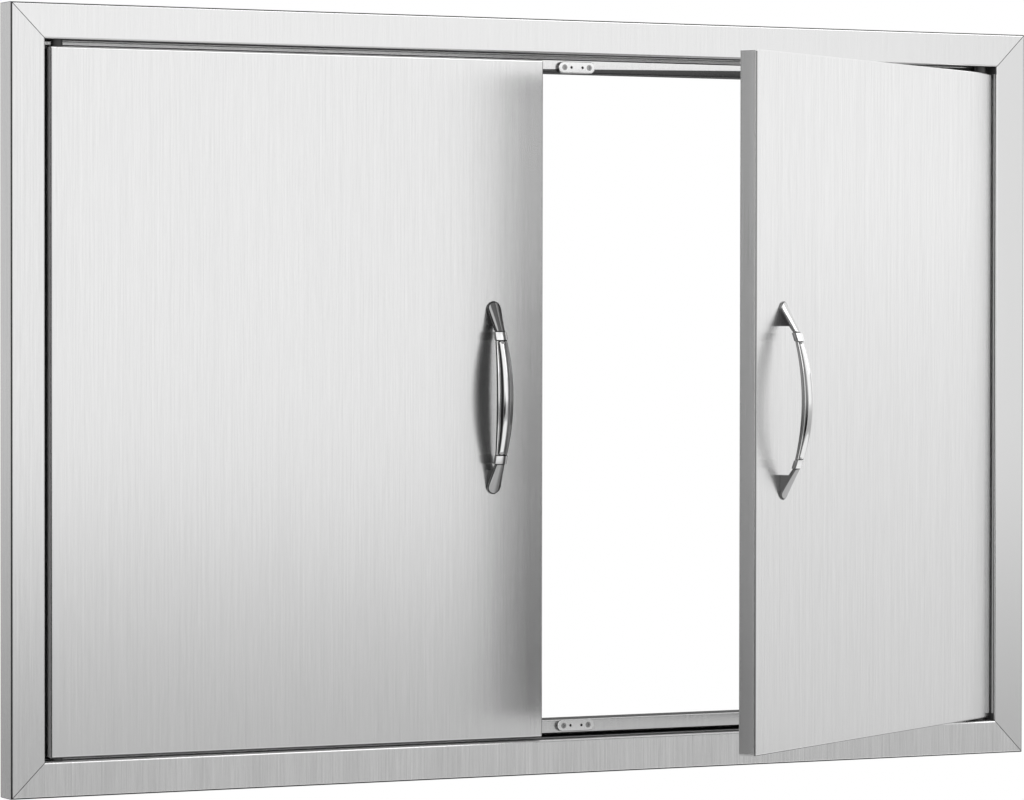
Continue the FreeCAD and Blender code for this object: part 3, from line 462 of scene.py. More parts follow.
@node_group("Inner returns", half_width=0.5, half_height=0.3, from_height=-1.0, front=-1.0,
            back=1.0)
def inner_returns(writer, half_width, half_height, from_height, front, back):
    """One on the folds inside a rectangle round the centre that face that centre, where the
    steel has painted shade.
    """
    x, y, z = writer.axes()
    aside = writer.math("LESS_THAN", writer.math("ABSOLUTE", x), half_width)
    upright = writer.band(writer.math("ABSOLUTE", z), from_height, half_height)
    deep = writer.band(y, front, back)
    outward = writer.share(writer.vector("MULTIPLY", writer.place(), (1, 0, 1)))
    inward = writer.math("LESS_THAN", outward, INWARD_SHARE)
    folded = writer.math("SUBTRACT", 1.0, facing(writer, low=0.0, high=FACE_SHARE)["Mask"])
    return {"mask": writer.product(inward, aside, upright, deep, folded)}


@node_group("Lit strip", front=-1.0, back=-0.0175)
def lit_strip(writer, front, back):
    """One on the strip of the folds that catches the room's light."""
    folded = writer.math("LESS_THAN", writer.share((0, -1, 0)), FOLD_SHARE)
    return {"mask": writer.product(writer.band(writer.axes()["Y"], front, back), folded)}


@node_group("Trim lines", half_width=0.5, half_height=0.3, line=MITRE_LINE)
def trim_lines_of_size(writer, half_width, half_height, line):
    """Thin dark lines: the mitres' own seam lines, and painted shade round the outer bends of
    the trim.
    """
    x, _, z = writer.axes()
    aside = writer.math("ABSOLUTE", x)
    upright = writer.math("ABSOLUTE", z)
    from_mitre = writer.apart(writer.math("SUBTRACT", aside, upright),
                              writer.math("SUBTRACT", half_width, half_height))
    mitre = writer.math("LESS_THAN", from_mitre, line)
    outer = writer.math("MAXIMUM", *(
        writer.math("GREATER_THAN", place, writer.math("SUBTRACT", half, OUTER_BEND))
        for place, half in ((aside, half_width), (upright, half_height))))
    bend = writer.band(writer.share((0, -1, 0)), *TRIM_BEND)
    return {"mask": writer.math("MAXIMUM", mitre, writer.product(outer, bend))}


def trim_lines(writer):
    """The trim's dark lines, at the trim's own size."""
    return trim_lines_of_size(writer, half_width=CAD_BOX[1].x,
                              half_height=CAD_BOX[1].z)["Mask"]


@node_group("Bend lines", front=(0.0, -1.0, 0.0))
def bend_lines_facing(writer, front):
    """Painted shade: thin dark lines on a door's bends, but not on its top one."""
    bend = writer.band(writer.share(front), *DOOR_BEND)
    below = writer.math("LESS_THAN", writer.share((0, 0, 1)), DOOR_TOP_SHARE)
    return {"mask": writer.product(bend, below, DOOR_LINE)}


def bend_lines(turn):
    """Give a function for the bend lines of a door turned by an angle."""

    def lines(writer):
        return bend_lines_facing(writer, front=(math.sin(turn), -math.cos(turn), 0))["Mask"]

    return lines


def stop_shade(writer):
    """Painted shade: a dark band along the lower edge of the upper door stop."""
    x, _, z = writer.axes()
    top = writer.math("MULTIPLY_ADD", x, STOP_SHADE_GROWTH, STOP_SHADE_TOP)
    return writer.band(z, 0.0, top)


@node_group("Bow marks", centre=(0.0, 0.0, 0.0), aside=(1.0, 0.0, 0.0), leg_end=0.0774,
            leg_spread=0.11, leg_half=0.0066)
def bow_marks(writer, centre, aside, leg_end, leg_spread, leg_half):
    """Marks of a bow handle: lines of painted shade round its lens and collars, the collars, the
    turned side.
    """
    across = writer.vector("DOT_PRODUCT", writer.vector("SUBTRACT", writer.place(), centre),
                           aside)
    from_axis = writer.math("ABSOLUTE", across)
    place = writer.math("ABSOLUTE", writer.axes()["Z"])

    ratio = writer.math("DIVIDE", place, NECK_PLACE)
    swell = writer.math("SUBTRACT", 1.0, writer.product(ratio, ratio))
    beyond = writer.math("DIVIDE", writer.math("SUBTRACT", place, LENS_STOP), LENS_TIP)
    beyond = writer.math("MAXIMUM", beyond, 0.0)
    tip = writer.math("SUBTRACT", 1.0, writer.product(beyond, beyond))
    tip = writer.math("SQRT", writer.math("MAXIMUM", tip, 0.0))
    lens = writer.product(writer.between(swell, LENS_END, LENS_MIDDLE), tip)
    within = writer.math("LESS_THAN", place, COLLAR_START)
    edge = writer.ramp(writer.apart(from_axis, lens), LENS_LINE * 0.5, LENS_LINE, 1.0, 0.0)

    from_collar = writer.apart(place, COLLAR_PLACE)
    from_notch = writer.apart(from_collar, (COLLAR_LENGTH + COLLAR_NOTCH) / 2)
    notch = writer.ramp(from_notch, COLLAR_NOTCH * 0.4, COLLAR_NOTCH * 0.7, 1.0, 0.0)
    collars = writer.math("LESS_THAN", from_collar, COLLAR_LENGTH / 2)

    along = writer.math("SUBTRACT", place, leg_end)
    past = writer.math("MAXIMUM", along, 0.0)
    radial = writer.math("SQRT", writer.total(writer.product(across, across),
                                              writer.product(past, past)))
    leg = writer.math("MULTIPLY_ADD", writer.math("MINIMUM", along, 0.0), leg_spread, leg_half)
    lip = writer.product(
        writer.band(writer.math("SUBTRACT", leg, radial), LIP * 0.5, LIP * 1.7),
        writer.math("GREATER_THAN", place, NECK_PLACE))
    border = writer.math("MAXIMUM", writer.product(edge, within), lip)

    turned = writer.share(aside)
    rail = writer.product(within, writer.math("GREATER_THAN", across, lens))
    far_half = writer.product(collars, writer.math("GREATER_THAN", across, COLLAR_PROUD))
    far_rail = writer.product(writer.math("MAXIMUM", rail, far_half),
                              writer.math("LESS_THAN", turned, FACE_SHARE))
    return {"lines": writer.math("MAXIMUM", border, notch), "collars": collars,
            "turned": turned, "far_rail": far_rail,
            "lens": writer.product(within, writer.math("LESS_THAN", from_axis, lens))}


def bare_material(name):
    """Start a material with an empty tree."""
    material = bpy.data.materials.new(name)
    material.use_nodes = True
    return material, NodeWriter(material.node_tree)


def shaded_material(name, metallic=1.0):
    """Start a material with a Principled BSDF."""
    material, writer = bare_material(name)
    shader = writer.add("ShaderNodeBsdfPrincipled", {"Metallic": metallic})
    shader.location = (2400, 0)
    output = writer.add("ShaderNodeOutputMaterial", {"Surface": shader.outputs[0]})
    output.location = (2700, 0)
    return material, writer, shader


def finish(writer, shader, tone, blur, height, bump_strength, bump_height):
    """Give a shader a neutral tone, a blur and a bump."""
    colour = writer.add("ShaderNodeCombineColor", {0: tone, 1: tone, 2: tone})
    bump = writer.add("ShaderNodeBump",
                      {"Strength": bump_strength, "Distance": bump_height, "Height": height})
    writer.fill(shader, {"Base Color": colour.outputs[0], "Roughness": blur,
                         "Normal": bump.outputs[0]})


def brushed_steel(name, settings, tone=1.0, grain=1.0, seed=0.0, returns=None, marks=None,
                  lit=None):
    """Sheet steel with upright brush lines.

    It has painted shade, dark and matt, on the folds inside a rectangle, and is paler on their
    lit strip.
    """
    material, writer, shader = shaded_material(name)
    lines = brush_grain(writer, pitch=settings.grain_pitch, length=settings.grain_length,
                        seed=seed)
    clouds = handling(writer, size=CLOUD_SIZE, seed=seed + 3.0)["Patches"]
    value = writer.total(
        writer.spread(lines["Lines"], settings.tone * tone, LINE_SWING * grain),
        writer.spread(lines["Scratches"], 0.0, SCRATCH_SWING * grain),
        writer.spread(lines["Bands"], 0.0, BAND_SWING * grain),
        writer.spread(clouds, 0.0, CLOUD_SWING))
    blur = writer.total(writer.spread(lines["Bands"], settings.roughness, BAND_BLUR * grain),
                        writer.spread(clouds, 0.0, CLOUD_BLUR))
    dulled = 0.0
    if lit:
        dulled = lit_strip(writer, front=lit[0], back=lit[1])["Mask"]
    if returns:
        # Painted shade on the inner folds.
        folds = inner_returns(writer, **returns)["Mask"]
        value = writer.product(value, writer.between(folds, 1.0, FOLD_SHADE_TONE))
        blur = writer.math("MULTIPLY_ADD", folds, FOLD_BLUR, blur)
        dulled = writer.math("MAXIMUM", folds, dulled)
    if lit or returns:
        writer.fill(shader, {"Metallic": writer.between(dulled, 1.0, FOLD_METAL)})
    # Marks: the mitres' own seam lines, and painted shade on bends and on the upper stop.
    if marks:
        value = writer.product(value, writer.between(marks(writer), 1.0, LINE_TONE))
    finish(writer, shader, value, blur, lines["Height"], settings.grain_depth * grain,
           STEEL_BUMP)
    tangent = writer.add("ShaderNodeCombineXYZ", dict(enumerate(BRUSH_DIRECTION)))
    writer.fill(shader, {"Anisotropic": 0.75, "Anisotropic Rotation": 0.25,
                         "Tangent": tangent.outputs[0]})
    return material


def plating(name, settings, tone=1.0, roughness=1.0, seed=0.0, front=(0, -1, 0),
            facing_from=-0.2, facing_to=0.7, back=0.06, rimmed=False, drawn=None):
    """Plating with its full tone on the face it turns to the front and painted shade at its
    back.
    """
    material, writer, shader = shaded_material(name)
    patches = handling(writer, size=PATCH_SIZE, seed=seed)["Patches"]
    ripple = handling(writer, size=RIPPLE_SIZE, seed=seed + 9.0)["Patches"]
    face = facing(writer, direction=front, low=facing_from, high=facing_to)["Mask"]
    value = writer.product(writer.spread(patches, settings.tone * tone, PLATING_SWING),
                           writer.between(face, back, 1.0))
    blur = writer.spread(ripple, settings.roughness * roughness, PLATING_SWING)
    if drawn:
        value, blur = drawn(writer, face, value, blur)
    # A rimmed plating is also matt where it turns from the front, so its painted shade there
    # shows as a dark rim.
    if rimmed:
        writer.fill(shader, {"Metallic": face})
    finish(writer, shader, value, blur, ripple, *PLATING_BUMP)
    return material


def flank_tones(writer, turned, near, far):
    """Painted dark reflections: tones over how far the surface turns aside, from fully left to
    fully right.
    """
    node = writer.add("ShaderNodeValToRGB",
                      {"Fac": writer.math("MULTIPLY_ADD", turned, 0.5, 0.5)})
    ramp = node.color_ramp
    ramp.interpolation = "EASE"
    for place, tone in ((0.1, near), (0.19, 1.0), (0.42, 1.0), (0.72, far), (0.8, far),
                        (0.9, 1.0)):
        ramp.elements.new(place).color = (tone, tone, tone, 1)
    ramp.elements.remove(ramp.elements[-1])
    ramp.elements[0].color = (near, near, near, 1)
    return node.outputs[0]


def bow_finish(handle, centre, aside, look):
    """Give a function that draws a bow handle's painted shade and reflections on its plating:
    its lines, flanks, legs and far rail, and a painted highlight on its collars.
    """
    radius = handle.foot_width / 2
    leg_end = handle.length / 2 - radius
    leg_spread = (radius - handle.neck_width / 2) / (leg_end - NECK_PLACE)

    def drawn(writer, face, value, blur):
        marks = bow_marks(writer, centre=centre, aside=aside, leg_end=leg_end,
                          leg_spread=leg_spread, leg_half=radius)
        flanks = flank_tones(writer, marks["Turned"], look["near_flank"], look["far_flank"])
        cleared = writer.product(marks["Lens"], look["clear_lens"])
        flanks = writer.math("MULTIPLY_ADD", cleared, writer.math("SUBTRACT", 1.0, flanks),
                             flanks)
        lines = writer.product(marks["Lines"], face)
        height = writer.axes()["Z"]
        low_leg = writer.math("LESS_THAN", height, -NECK_PLACE)
        high_leg = writer.math("GREATER_THAN", height, NECK_PLACE)
        value = writer.product(value, flanks, writer.between(lines, 1.0, look["line"]),
                               writer.between(low_leg, 1.0, look["low_leg"]),
                               writer.between(high_leg, 1.0, look["high_leg"]))
        collars = writer.product(marks["Collars"], face, COLLAR_HIGHLIGHT)
        value = writer.product(writer.math("MAXIMUM", value, collars),
                               writer.between(marks["Far Rail"], 1.0, look["far_rail"]))
        return value, writer.math("MULTIPLY_ADD", marks["Collars"], COLLAR_SATIN, blur)

    return drawn


def dull_solid(name, tone, roughness, metallic=0.0, size=0.004):
    """A plain moulded, sintered or mill-finished solid."""
    material, writer, shader = shaded_material(name, metallic)
    patches = handling(writer, size=size, seed=0.0)["Patches"]
    finish(writer, shader, writer.spread(patches, tone, DULL_SWING * tone),
           writer.spread(patches, roughness, DULL_SWING), patches, *DULL_BUMP)
    return material


def dress(prefixes, material):
    """Give a material to every CAD node whose name starts or ends with one of the names."""
    dressed = [node for name, node in NODES.items()
               if any(name.startswith(part) or name.endswith(part) for part in prefixes)]
    if not dressed:
        raise RuntimeError("no CAD node is named like %s" % (prefixes,))
    for node in dressed:
        node.data.materials.clear()
        node.data.materials.append(material)


def bow_sizes(handle, place):
    """Half width, back, shoulder, crown and half the lens at a place from the bow's middle."""
    swell = 1 - (place / NECK_PLACE) ** 2
    beyond = (place - LENS_STOP) / LENS_TIP
    tip = math.sqrt(max(1 - max(beyond, 0) ** 2, 0))
    half = (handle.neck_width + (handle.grip_width - handle.neck_width) * swell) / 2
    back = NECK_INNER + (GRIP_INNER - NECK_INNER) * swell
    crown = NECK_OUTER + (handle.rise - NECK_OUTER) * swell
    drop = NECK_DROP + (GRIP_DROP - NECK_DROP) * swell
    shoulder = crown - drop
    lens = (LENS_END + (LENS_MIDDLE - LENS_END) * swell) * tip
    rise = max(drop * tip, LEAST_RISE)
    return half, back, shoulder, shoulder + rise, max(lens, LEAST_LENS)


def leg_sizes(handle, place):
    """The same sizes for a leg. Its front bulges from edge to edge, inside a narrow lip."""
    end = handle.length / 2
    radius = handle.foot_width / 2
    taper = (radius - handle.neck_width / 2) / (end - radius - NECK_PLACE)
    beyond = place - (end - radius)
    if beyond > 0:
        half = math.sqrt(max(radius ** 2 - beyond ** 2, 0))
    else:
        half = radius + taper * beyond
    share = (place - NECK_PLACE) / (end - NECK_PLACE)
    crown = NECK_OUTER + (TIP_HEIGHT - NECK_OUTER) * share
    drop = min(NECK_DROP + (LEG_DROP - NECK_DROP) * min(share * 3, 1), crown * 0.6)
    return half, 0.0, crown - drop, crown, half - min(LIP, half * 0.3)


def handle_stations(handle):
    """Sizes at each place from the middle to a tip, as (place, half, ..., half the lens)."""
    start = COLLAR_START
    stop = COLLAR_PLACE + COLLAR_LENGTH / 2
    foot = handle.length / 2 - FOOT_LENGTH
    tip_start = (handle.length - handle.foot_width) / 2
    places = [LENS_STOP * k / BOW_STEPS for k in range(BOW_STEPS + 1)]
    places += [LENS_STOP + LENS_TIP * math.sin(math.radians(k * LENS_TIP_TURN))
               for k in range(1, 10)]
    stations = [(place, *bow_sizes(handle, place)) for place in places]

    def collar(place, inset):
        half, back, shoulder, crown, lens = leg_sizes(handle, NECK_PLACE)
        rise = bow_sizes(handle, place)[2] - shoulder
        proud = COLLAR_PROUD - inset
        half = handle.collar_width / 2 - inset
        return (place, half, back + NECK_INNER + rise - proud, shoulder + rise + proud,
                crown + rise + proud, half - LIP)

    def notch(place):
        half, back, shoulder, crown, lens = bow_sizes(handle, place)
        return place, half - SHOULDER, back + SHOULDER, shoulder - SHOULDER, shoulder, lens

    stations += [notch(start), collar(start, SHOULDER), collar(start + SHOULDER, 0),
                 collar((start + stop) / 2, 0), collar(stop - SHOULDER, 0),
                 collar(stop, SHOULDER)]
    for k in range(LEG_STEPS + 1):
        place = NECK_PLACE + (foot - NECK_PLACE) * k / LEG_STEPS
        half, back, shoulder, crown, lens = leg_sizes(handle, place)
        under = NECK_INNER + (FOOT_HEIGHT - NECK_INNER) * k / LEG_STEPS
        stations.append((place, half, under, shoulder, crown, lens))
    places = [foot + (tip_start - foot) * k / FOOT_STEPS for k in range(FOOT_STEPS + 1)]
    places += [tip_start + handle.foot_width / 2 * math.sin(math.radians(k * FOOT_TIP_TURN))
               for k in range(1, 13)]
    return stations + [(place, *leg_sizes(handle, place)) for place in places]


def rounded(before, corner, after, radius, steps):
    """Points that round a corner between its two neighbours."""
    toward = before - corner
    away = after - corner
    start = corner + toward.normalized() * min(radius, toward.length * 0.45)
    end = corner + away.normalized() * min(radius, away.length * 0.45)
    points = []
    for k in range(steps + 1):
        t = k / steps
        points.append(start * (1 - t) ** 2 + corner * 2 * t * (1 - t) + end * t ** 2)
    return points


def mirrored(points):
    """The same points on the other side of the middle, in the opposite order."""
    return [Vector((-point.x, point.y)) for point in reversed(points)]


def handle_ring(half, back, shoulder, crown, lens):
    """One closed cross-section: flat back, grooved sides, rails and a lens between them."""
    drop = crown - shoulder
    bulge = (lens ** 2 + drop ** 2) / (2 * drop)
    sweep = math.asin(min(lens / bulge, 1))
    turns = [sweep * k / LENS_STEPS for k in range(LENS_STEPS, -LENS_STEPS - 1, -1)]
    front = [Vector((bulge * math.sin(turn), crown - bulge + bulge * math.cos(turn)))
             for turn in turns]
    rail = min(RAIL_GROOVE, (half - lens) * 0.3)
    rail_right = [Vector((lens + rail * 2, shoulder)), Vector((lens + rail, shoulder - rail))]
    front = rail_right + front + mirrored(rail_right)
    groove = min(SIDE_GROOVE, (shoulder - back) * 0.2)
    middle = shoulder - min((shoulder - back) * 0.5, SIDE_GROOVE_DEPTH)
    right = [Vector((half, middle - groove)), Vector((half - groove, middle)),
             Vector((half, middle + groove))]
    left = mirrored(right)
    low_left, low_right = Vector((-half, back)), Vector((half, back))
    high_right, high_left = Vector((half, shoulder)), Vector((-half, shoulder))
    return (rounded(left[-1], low_left, low_right, EDGE_RADIUS, 3)
            + rounded(low_left, low_right, right[0], EDGE_RADIUS, 3) + right
            + rounded(right[-1], high_right, front[0], EDGE_RADIUS, 4) + front
            + rounded(front[-1], high_left, left[0], EDGE_RADIUS, 4) + left)


def handle_casting(name, handle, centre, turn, pivot):
    """Build a handle as one skin over its cross-sections, on a door turned about its pivot."""
    half_way = handle_stations(handle)
    stations = [(-row[0], *row[1:]) for row in reversed(half_way[1:])] + half_way
    points = []
    faces = []
    for place, *sizes in stations:
        ring = handle_ring(*sizes)
        points += [(centre.x + point.x, centre.y - point.y, place) for point in ring]
    count = len(ring)
    for row in range(len(stations) - 1):
        for k in range(count):
            first, second = row * count + k, row * count + (k + 1) % count
            faces.append((first, second, second + count, first + count))
    faces.append(tuple(reversed(range(count))))
    faces.append(tuple(range(len(points) - count, len(points))))
    mesh = bpy.data.meshes.new(name)
    mesh.from_pydata(points, [], faces)
    swing = (Matrix.Translation(pivot) @ Matrix.Rotation(turn, 4, "Z")
             @ Matrix.Translation(-pivot))
    mesh.transform(swing)
    mesh.validate()
    for polygon in mesh.polygons:
        polygon.use_smooth = True
    piece = bpy.data.objects.new(name, mesh)
    bpy.context.scene.collection.objects.link(piece)
    piece.modifiers.new("even_shading", "WEIGHTED_NORMAL").weight = 60
    return piece


class ACCESSDOOR_OT_trim(bpy.types.Operator):
    """Dress the four mitred members of the trim."""

    bl_idname = "access_door.trim"
    bl_label = "Trim frame"

    def execute(self, context):
        steel = context.scene.access_door_steel
        # The left and right members' lower tones are painted shade on the same steel.
        for side, tone, grain, lit, limit in (
                ("top", 1.0, 0.6, None, {}),
                ("left", 0.97, 1.2, None, {}),
                ("bottom", 1.0, 2.3, LIT_DEPTHS, {"front": LIT_DEPTHS[1]}),
                ("right", 0.96, 0.1, RIGHT_LIT_DEPTHS, {"from_height": DOOR_TOP})):
            material = brushed_steel("Trim %s steel" % side, steel, tone=tone, grain=grain,
                                     seed=1.0, marks=trim_lines, lit=lit,
                                     returns={**TRIM_OPENING, **limit})
            dress(("frame_trim_" + side,), material)
        return {"FINISHED"}


class ACCESSDOOR_OT_opening(bpy.types.Operator):
    """Dress the opening's liner and the door stop."""

    bl_idname = "access_door.opening"
    bl_label = "Opening"

    def execute(self, context):
        steel = context.scene.access_door_steel
        # The top liner, the upper stop and the right liner are lighter copies of the same steel:
        # painted light.
        for pieces, name, tone, grain, seed, limit, marks in (
                (("opening_liner_bottom", "opening_liner_left", "door_stop_bottom",
                  "door_stop_left", "door_stop_right"),
                 "Opening steel", 0.97, 1.0, 2.0, {}, None),
                (("opening_liner_top",), "Opening top steel", 1.1, 0.3, 2.0, {"back": 0.0},
                 None),
                (("door_stop_top",), "Upper stop steel", 1.05, 0.5, 2.2, {}, stop_shade),
                (("opening_liner_right",), "Opening right steel", 1.15, 0.3, 2.5,
                 {"from_height": DOOR_TOP}, None)):
            material = brushed_steel(name, steel, tone=tone, grain=grain, seed=seed,
                                     returns={**LINER_OPENING, **limit}, marks=marks)
            dress(pieces, material)
        return {"FINISHED"}


class ACCESSDOOR_OT_doors(bpy.types.Operator):
    """Dress the fronts and backs of both doors."""

    bl_idname = "access_door.doors"
    bl_label = "Doors"

    def execute(self, context):
        steel = context.scene.access_door_steel
        dress(("left_door_skin",),
              brushed_steel("Left door steel", steel, seed=3.0, marks=bend_lines(0.0),
                            lit=LIT_DEPTHS))
        dress(("right_door_skin",),
              brushed_steel("Right door steel", steel, grain=1.3, seed=4.0,
                            marks=bend_lines(DOOR_OPEN)))
        # The door backs' lower tone is painted shade.
        dress(("door_liner",), brushed_steel("Door back steel", steel, tone=0.74, seed=5.0))
        return {"FINISHED"}


class ACCESSDOOR_OT_handles(bpy.types.Operator):
    """Dress the two bow handles."""

    bl_idname = "access_door.handles"
    bl_label = "Handles"

    def execute(self, context):
        chrome = context.scene.access_door_plating
        handle = context.scene.access_door_handle
        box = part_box("left_handle")
        for side, lead, turn in (("left", -1, 0.0), ("right", 1, DOOR_OPEN)):
            centre = Vector((-lead * (box[0].x + box[1].x) / 2, box[1].y, 0))
            hinge = next(joint for joint in frame["joints"] if joint["name"].startswith(side))
            pivot = Vector(hinge["pos_m"])
            piece = handle_casting(side + "_handle_casting", handle, centre, turn, pivot)
            turned = pivot + Matrix.Rotation(turn, 3, "Z") @ (centre - pivot)
            aside = (math.cos(turn), math.sin(turn), 0)
            look = HANDLE_PAINTED_TONES[side]
            # The plating carries this handle's painted shade, painted reflections and collar
            # highlight.
            material = plating("%s handle plating" % side.capitalize(), chrome, seed=1.0,
                               front=(aside[1], -aside[0], 0), facing_to=0.6,
                               back=look["back"], drawn=bow_finish(handle, turned, aside, look))
            piece.data.materials.append(material)
            NODES[side + "_handle"].data.materials.clear()
            NODES[side + "_handle"].data.materials.append(material)
            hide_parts(side + "_handle")
            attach(piece, side + "_door")
        return {"FINISHED"}


class ACCESSDOOR_OT_catches(bpy.types.Operator):
    """Dress the catches, their magnets and their screws."""

    bl_idname = "access_door.catches"
    bl_label = "Catches"

    def execute(self, context):
        chrome = context.scene.access_door_plating
        # Painted shade on the rims and backs of the catch covers and the screw heads.
        dress(("catch_cover",), plating("Catch plating", chrome, tone=1.1, roughness=1.6,
                                        facing_from=0.2, rimmed=True))
        dress(("catch_magnet",), dull_solid("Ferrite", 0.03, 0.6))
        dress(("catch_screws", "handle_screws"),
              plating("Screw steel", chrome, tone=0.5, roughness=1.8, seed=4.0,
                      facing_from=0.2, rimmed=True))
        return {"FINISHED"}


class ACCESSDOOR_OT_pivots(bpy.types.Operator):
    """Dress the pivots and the pieces inside the frame and the doors."""

    bl_idname = "access_door.pivots"
    bl_label = "Pivots and inner pieces"

    def execute(self, context):
        chrome = context.scene.access_door_plating
        # Painted shade on the pins' backs.
        dress(("pivot_pin",), plating("Pin steel", chrome, tone=0.85, roughness=1.5, seed=6.0))
        nylon = dull_solid("Nylon", 0.04, 0.45, size=0.003)
        dress(("pivot_spacers", "pivot_washers", "bushing_upper", "bushing_lower"), nylon)
        mill = dull_solid("Mill steel", 0.48, 0.42, metallic=1.0, size=0.01)
        dress(("corner_gusset", "door_stiffener", "pivot_block_upper", "pivot_block_lower",
               "handle_spacers"), mill)
        return {"FINISHED"}


def seen_rays(writer):
    """One for rays that show the background: from the camera, off metal or through glass."""
    path = writer.add("ShaderNodeLightPath")
    seen = writer.math("MAXIMUM", path.outputs["Is Camera Ray"], path.outputs["Is Glossy Ray"])
    return writer.math("MAXIMUM", seen, path.outputs["Is Transmission Ray"])


def white_world(scene, ambient):
    """White where it is seen, and a softer white as the light from all round."""
    world = bpy.data.worlds.new("Studio")
    world.use_nodes = True
    scene.world = world
    writer = NodeWriter(world.node_tree)
    light, shown = (writer.add("ShaderNodeBackground", {"Color": WHITE, "Strength": strength})
                    for strength in (ambient, 1.0))
    mix = writer.add("ShaderNodeMixShader", {0: seen_rays(writer), 1: light.outputs[0],
                                             2: shown.outputs[0]})
    writer.add("ShaderNodeOutputWorld", {"Surface": mix.outputs[0]})


def floor_material(tone, image):
    """Pale floor that fades to white away from the door, and looks duller in the steel."""
    material, writer = bare_material("Floor")
    x, y, _ = writer.axes()
    ahead = writer.math("MULTIPLY_ADD", writer.math("MAXIMUM", y, 0.0), FLOOR_FADE_BEHIND,
                        writer.math("ABSOLUTE", y))
    place = writer.add("ShaderNodeCombineXYZ", {"X": x, "Y": ahead})
    fade = writer.ramp(writer.vector("LENGTH", place.outputs[0]), *FLOOR_FADE)
    mirrored = writer.add("ShaderNodeLightPath").outputs["Is Glossy Ray"]
    glowing = writer.math("MAXIMUM", writer.product(fade, seen_rays(writer)), mirrored)
    level = writer.add("ShaderNodeMix", {0: mirrored, 2: 1.0,
                                         3: writer.between(fade, image, 1.0)})
    matt = writer.add("ShaderNodeBsdfDiffuse", {"Color": (tone, tone, tone, 1)})
    glow = writer.add("ShaderNodeEmission", {"Color": WHITE, "Strength": level.outputs[0]})
    mix = writer.add("ShaderNodeMixShader", {0: glowing, 1: matt.outputs[0],
                                             2: glow.outputs[0]})
    writer.add("ShaderNodeOutputMaterial", {"Surface": mix.outputs[0]})
    return material


def flat_sheet(name, corners, material):
    """A flat stage sheet through its corners."""
    mesh = bpy.data.meshes.new(name)
    mesh.from_pydata(corners, [], [tuple(range(len(corners)))])
    mesh.materials.append(material)
    sheet = bpy.data.objects.new(name, mesh)
    bpy.context.scene.collection.objects.link(sheet)
    return sheet


def reflected_card(name, corners, tone, top_tone=None, bottom=0.0, top=1.0):
    """Painted reflection: a glowing card that only reflections show. Its tone may change between
    two heights.
    """
    material, writer = bare_material(name.replace("_", " ").capitalize())
    if top_tone is not None:
        tone = writer.ramp(writer.axes()["Z"], bottom, top, tone, top_tone)
    glow = writer.add("ShaderNodeEmission", {"Color": WHITE, "Strength": tone})
    writer.add("ShaderNodeOutputMaterial", {"Surface": glow.outputs[0]})
    card = flat_sheet(name, corners, material)
    card.visible_camera = False
    card.visible_shadow = False
    card.visible_diffuse = False


def bearing(angle, distance, height):
    """A place at an angle from straight ahead of the door, positive to the right."""
    turn = math.radians(angle)
    return (distance * math.sin(turn), -distance * math.cos(turn), height)


def lamp(name, size, power, place, aim):
    """Hang one soft lamp that points at a place."""
    data = bpy.data.lights.new(name, "AREA")
    data.shape = "RECTANGLE"
    data.size, data.size_y = size
    data.energy = power
    data.spread = math.pi
    light = bpy.data.objects.new(name, data)
    light.location = place
    light.rotation_euler = (Vector(aim) - Vector(place)).to_track_quat("-Z", "Y").to_euler()
    bpy.context.scene.collection.objects.link(light)


def place_camera(scene):
    """Stand the camera where the photograph was taken."""
    yaw, pitch, roll = (math.radians(angle) for angle in
                        (CAMERA_YAW, CAMERA_PITCH, CAMERA_ROLL))
    ahead = Vector((math.sin(yaw) * math.cos(pitch), math.cos(yaw) * math.cos(pitch),
                    math.sin(pitch)))
    right = Vector((math.cos(yaw), -math.sin(yaw), 0))
    up = right.cross(ahead)
    side = right * math.cos(roll) + up * math.sin(roll)
    top = up * math.cos(roll) - right * math.sin(roll)
    data = bpy.data.cameras.new("camera")
    data.sensor_fit = "HORIZONTAL"
    data.sensor_width = 36.0
    data.lens = CAMERA_LENS
    data.clip_end = 60.0
    camera = bpy.data.objects.new("camera", data)
    axes = Matrix((side, top, -ahead)).transposed()
    camera.matrix_world = Matrix.Translation(CAMERA_PLACE) @ axes.to_4x4()
    scene.collection.objects.link(camera)
    scene.camera = camera


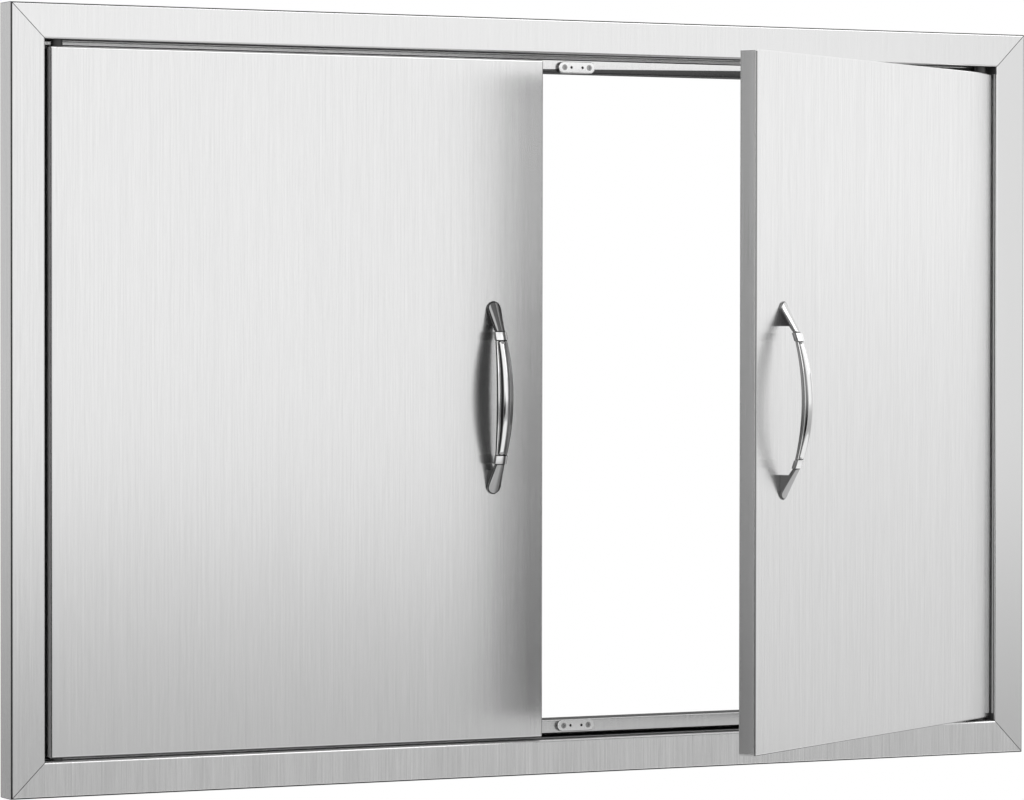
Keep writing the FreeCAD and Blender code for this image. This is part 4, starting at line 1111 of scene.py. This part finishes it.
class ACCESSDOOR_OT_stage(bpy.types.Operator):
    """Set the white surrounding, the floor, the cards, the lamp and the camera."""

    bl_idname = "access_door.stage"
    bl_label = "Studio"

    def execute(self, context):
        scene = context.scene
        studio = scene.access_door_studio
        scene.view_settings.view_transform = "Standard"
        white_world(scene, studio.ambient)
        level = CAD_BOX[0].z - studio.floor_gap
        flat_sheet("floor",
                   [(-12, -16, level), (12, -16, level), (12, 8, level), (-12, 8, level)],
                   floor_material(studio.floor_tone, studio.floor_image))
        self.set_cards(studio, level)
        lamp("key", KEY_SIZE, studio.key_power, KEY_PLACE, KEY_AIM)
        place_camera(scene)
        return {"FINISHED"}

    def set_cards(self, studio, level):
        """Stand the cards of painted reflection round the door, and lay one above it and one on
        the floor.

        A standing card has its first and last bearing in degrees, its distance and top in
        metres, and its tones with the heights between which they change.
        """
        back = studio.back_card
        for name, first, last, distance, height, tones in (
                ("front_left_card", -62, -26, 3.1, 0.6, (0.0, 1.0, -0.36, 0.20)),
                ("left_card", -100, -78, 3.0, 3.0, (studio.dark_card,)),
                ("right_card", 38, 75, 7.0, 2.5, (0.68,)),
                ("side_card", 78, 130, 4.0, 1.0, (0.71, 1.0, -0.63, 0.24)),
                ("back_left_card", -172, -148, 3.0, 3.0, (back * 0.6, back, level, 0.0)),
                ("back_inner_card", -148, -130, 3.0, 3.0, (back * 0.32, back, level, -0.10))):
            corners = [bearing(angle, distance, edge) for angle, edge in (
                (first, level), (last, level), (last, height), (first, height))]
            reflected_card(name, corners, *tones)
        reflected_card("overhead_card", [(-0.6, -0.45, 1.8), (1.4, -0.45, 1.8),
                                         (1.4, -1.7, 1.8), (-0.6, -1.7, 1.8)], 0.25)
        rim = ([bearing(angle, 2.2, level + 0.005) for angle in range(-60, 126, 15)]
               + [bearing(angle, 0.75, level + 0.005) for angle in range(120, -61, -15)])
        reflected_card("low_card", rim, 0.9)


class ACCESSDOOR_PT_panel(bpy.types.Panel):
    """Lists the steps and the settings of the access door."""

    bl_idname = "ACCESSDOOR_PT_panel"
    bl_label = "Access Door"
    bl_space_type = "VIEW_3D"
    bl_region_type = "UI"
    bl_category = "Access Door"

    def draw(self, context):
        layout = self.layout
        for operator in STEPS:
            layout.operator(operator.bl_idname)
        for group in (context.scene.access_door_steel, context.scene.access_door_plating,
                      context.scene.access_door_handle, context.scene.access_door_studio):
            box = layout.box()
            for name in group.__annotations__:
                box.prop(group, name)


STEPS = (ACCESSDOOR_OT_trim, ACCESSDOOR_OT_opening, ACCESSDOOR_OT_doors,
         ACCESSDOOR_OT_handles, ACCESSDOOR_OT_catches, ACCESSDOOR_OT_pivots,
         ACCESSDOOR_OT_stage)
GROUPS = (("access_door_steel", SteelSettings), ("access_door_plating", PlatingSettings),
          ("access_door_handle", HandleSettings), ("access_door_studio", StudioSettings))


def register():
    for name, group in GROUPS:
        bpy.utils.register_class(group)
        setattr(bpy.types.Scene, name, bpy.props.PointerProperty(type=group))
    for operator in STEPS:
        bpy.utils.register_class(operator)
    bpy.utils.register_class(ACCESSDOOR_PT_panel)


def unregister():
    bpy.utils.unregister_class(ACCESSDOOR_PT_panel)
    for operator in reversed(STEPS):
        bpy.utils.unregister_class(operator)
    for name, group in reversed(GROUPS):
        delattr(bpy.types.Scene, name)
        bpy.utils.unregister_class(group)


def main():
    register()
    for operator in STEPS:
        family, step = operator.bl_idname.split(".")
        getattr(getattr(bpy.ops, family), step)()


if __name__ == "__main__":
    main()
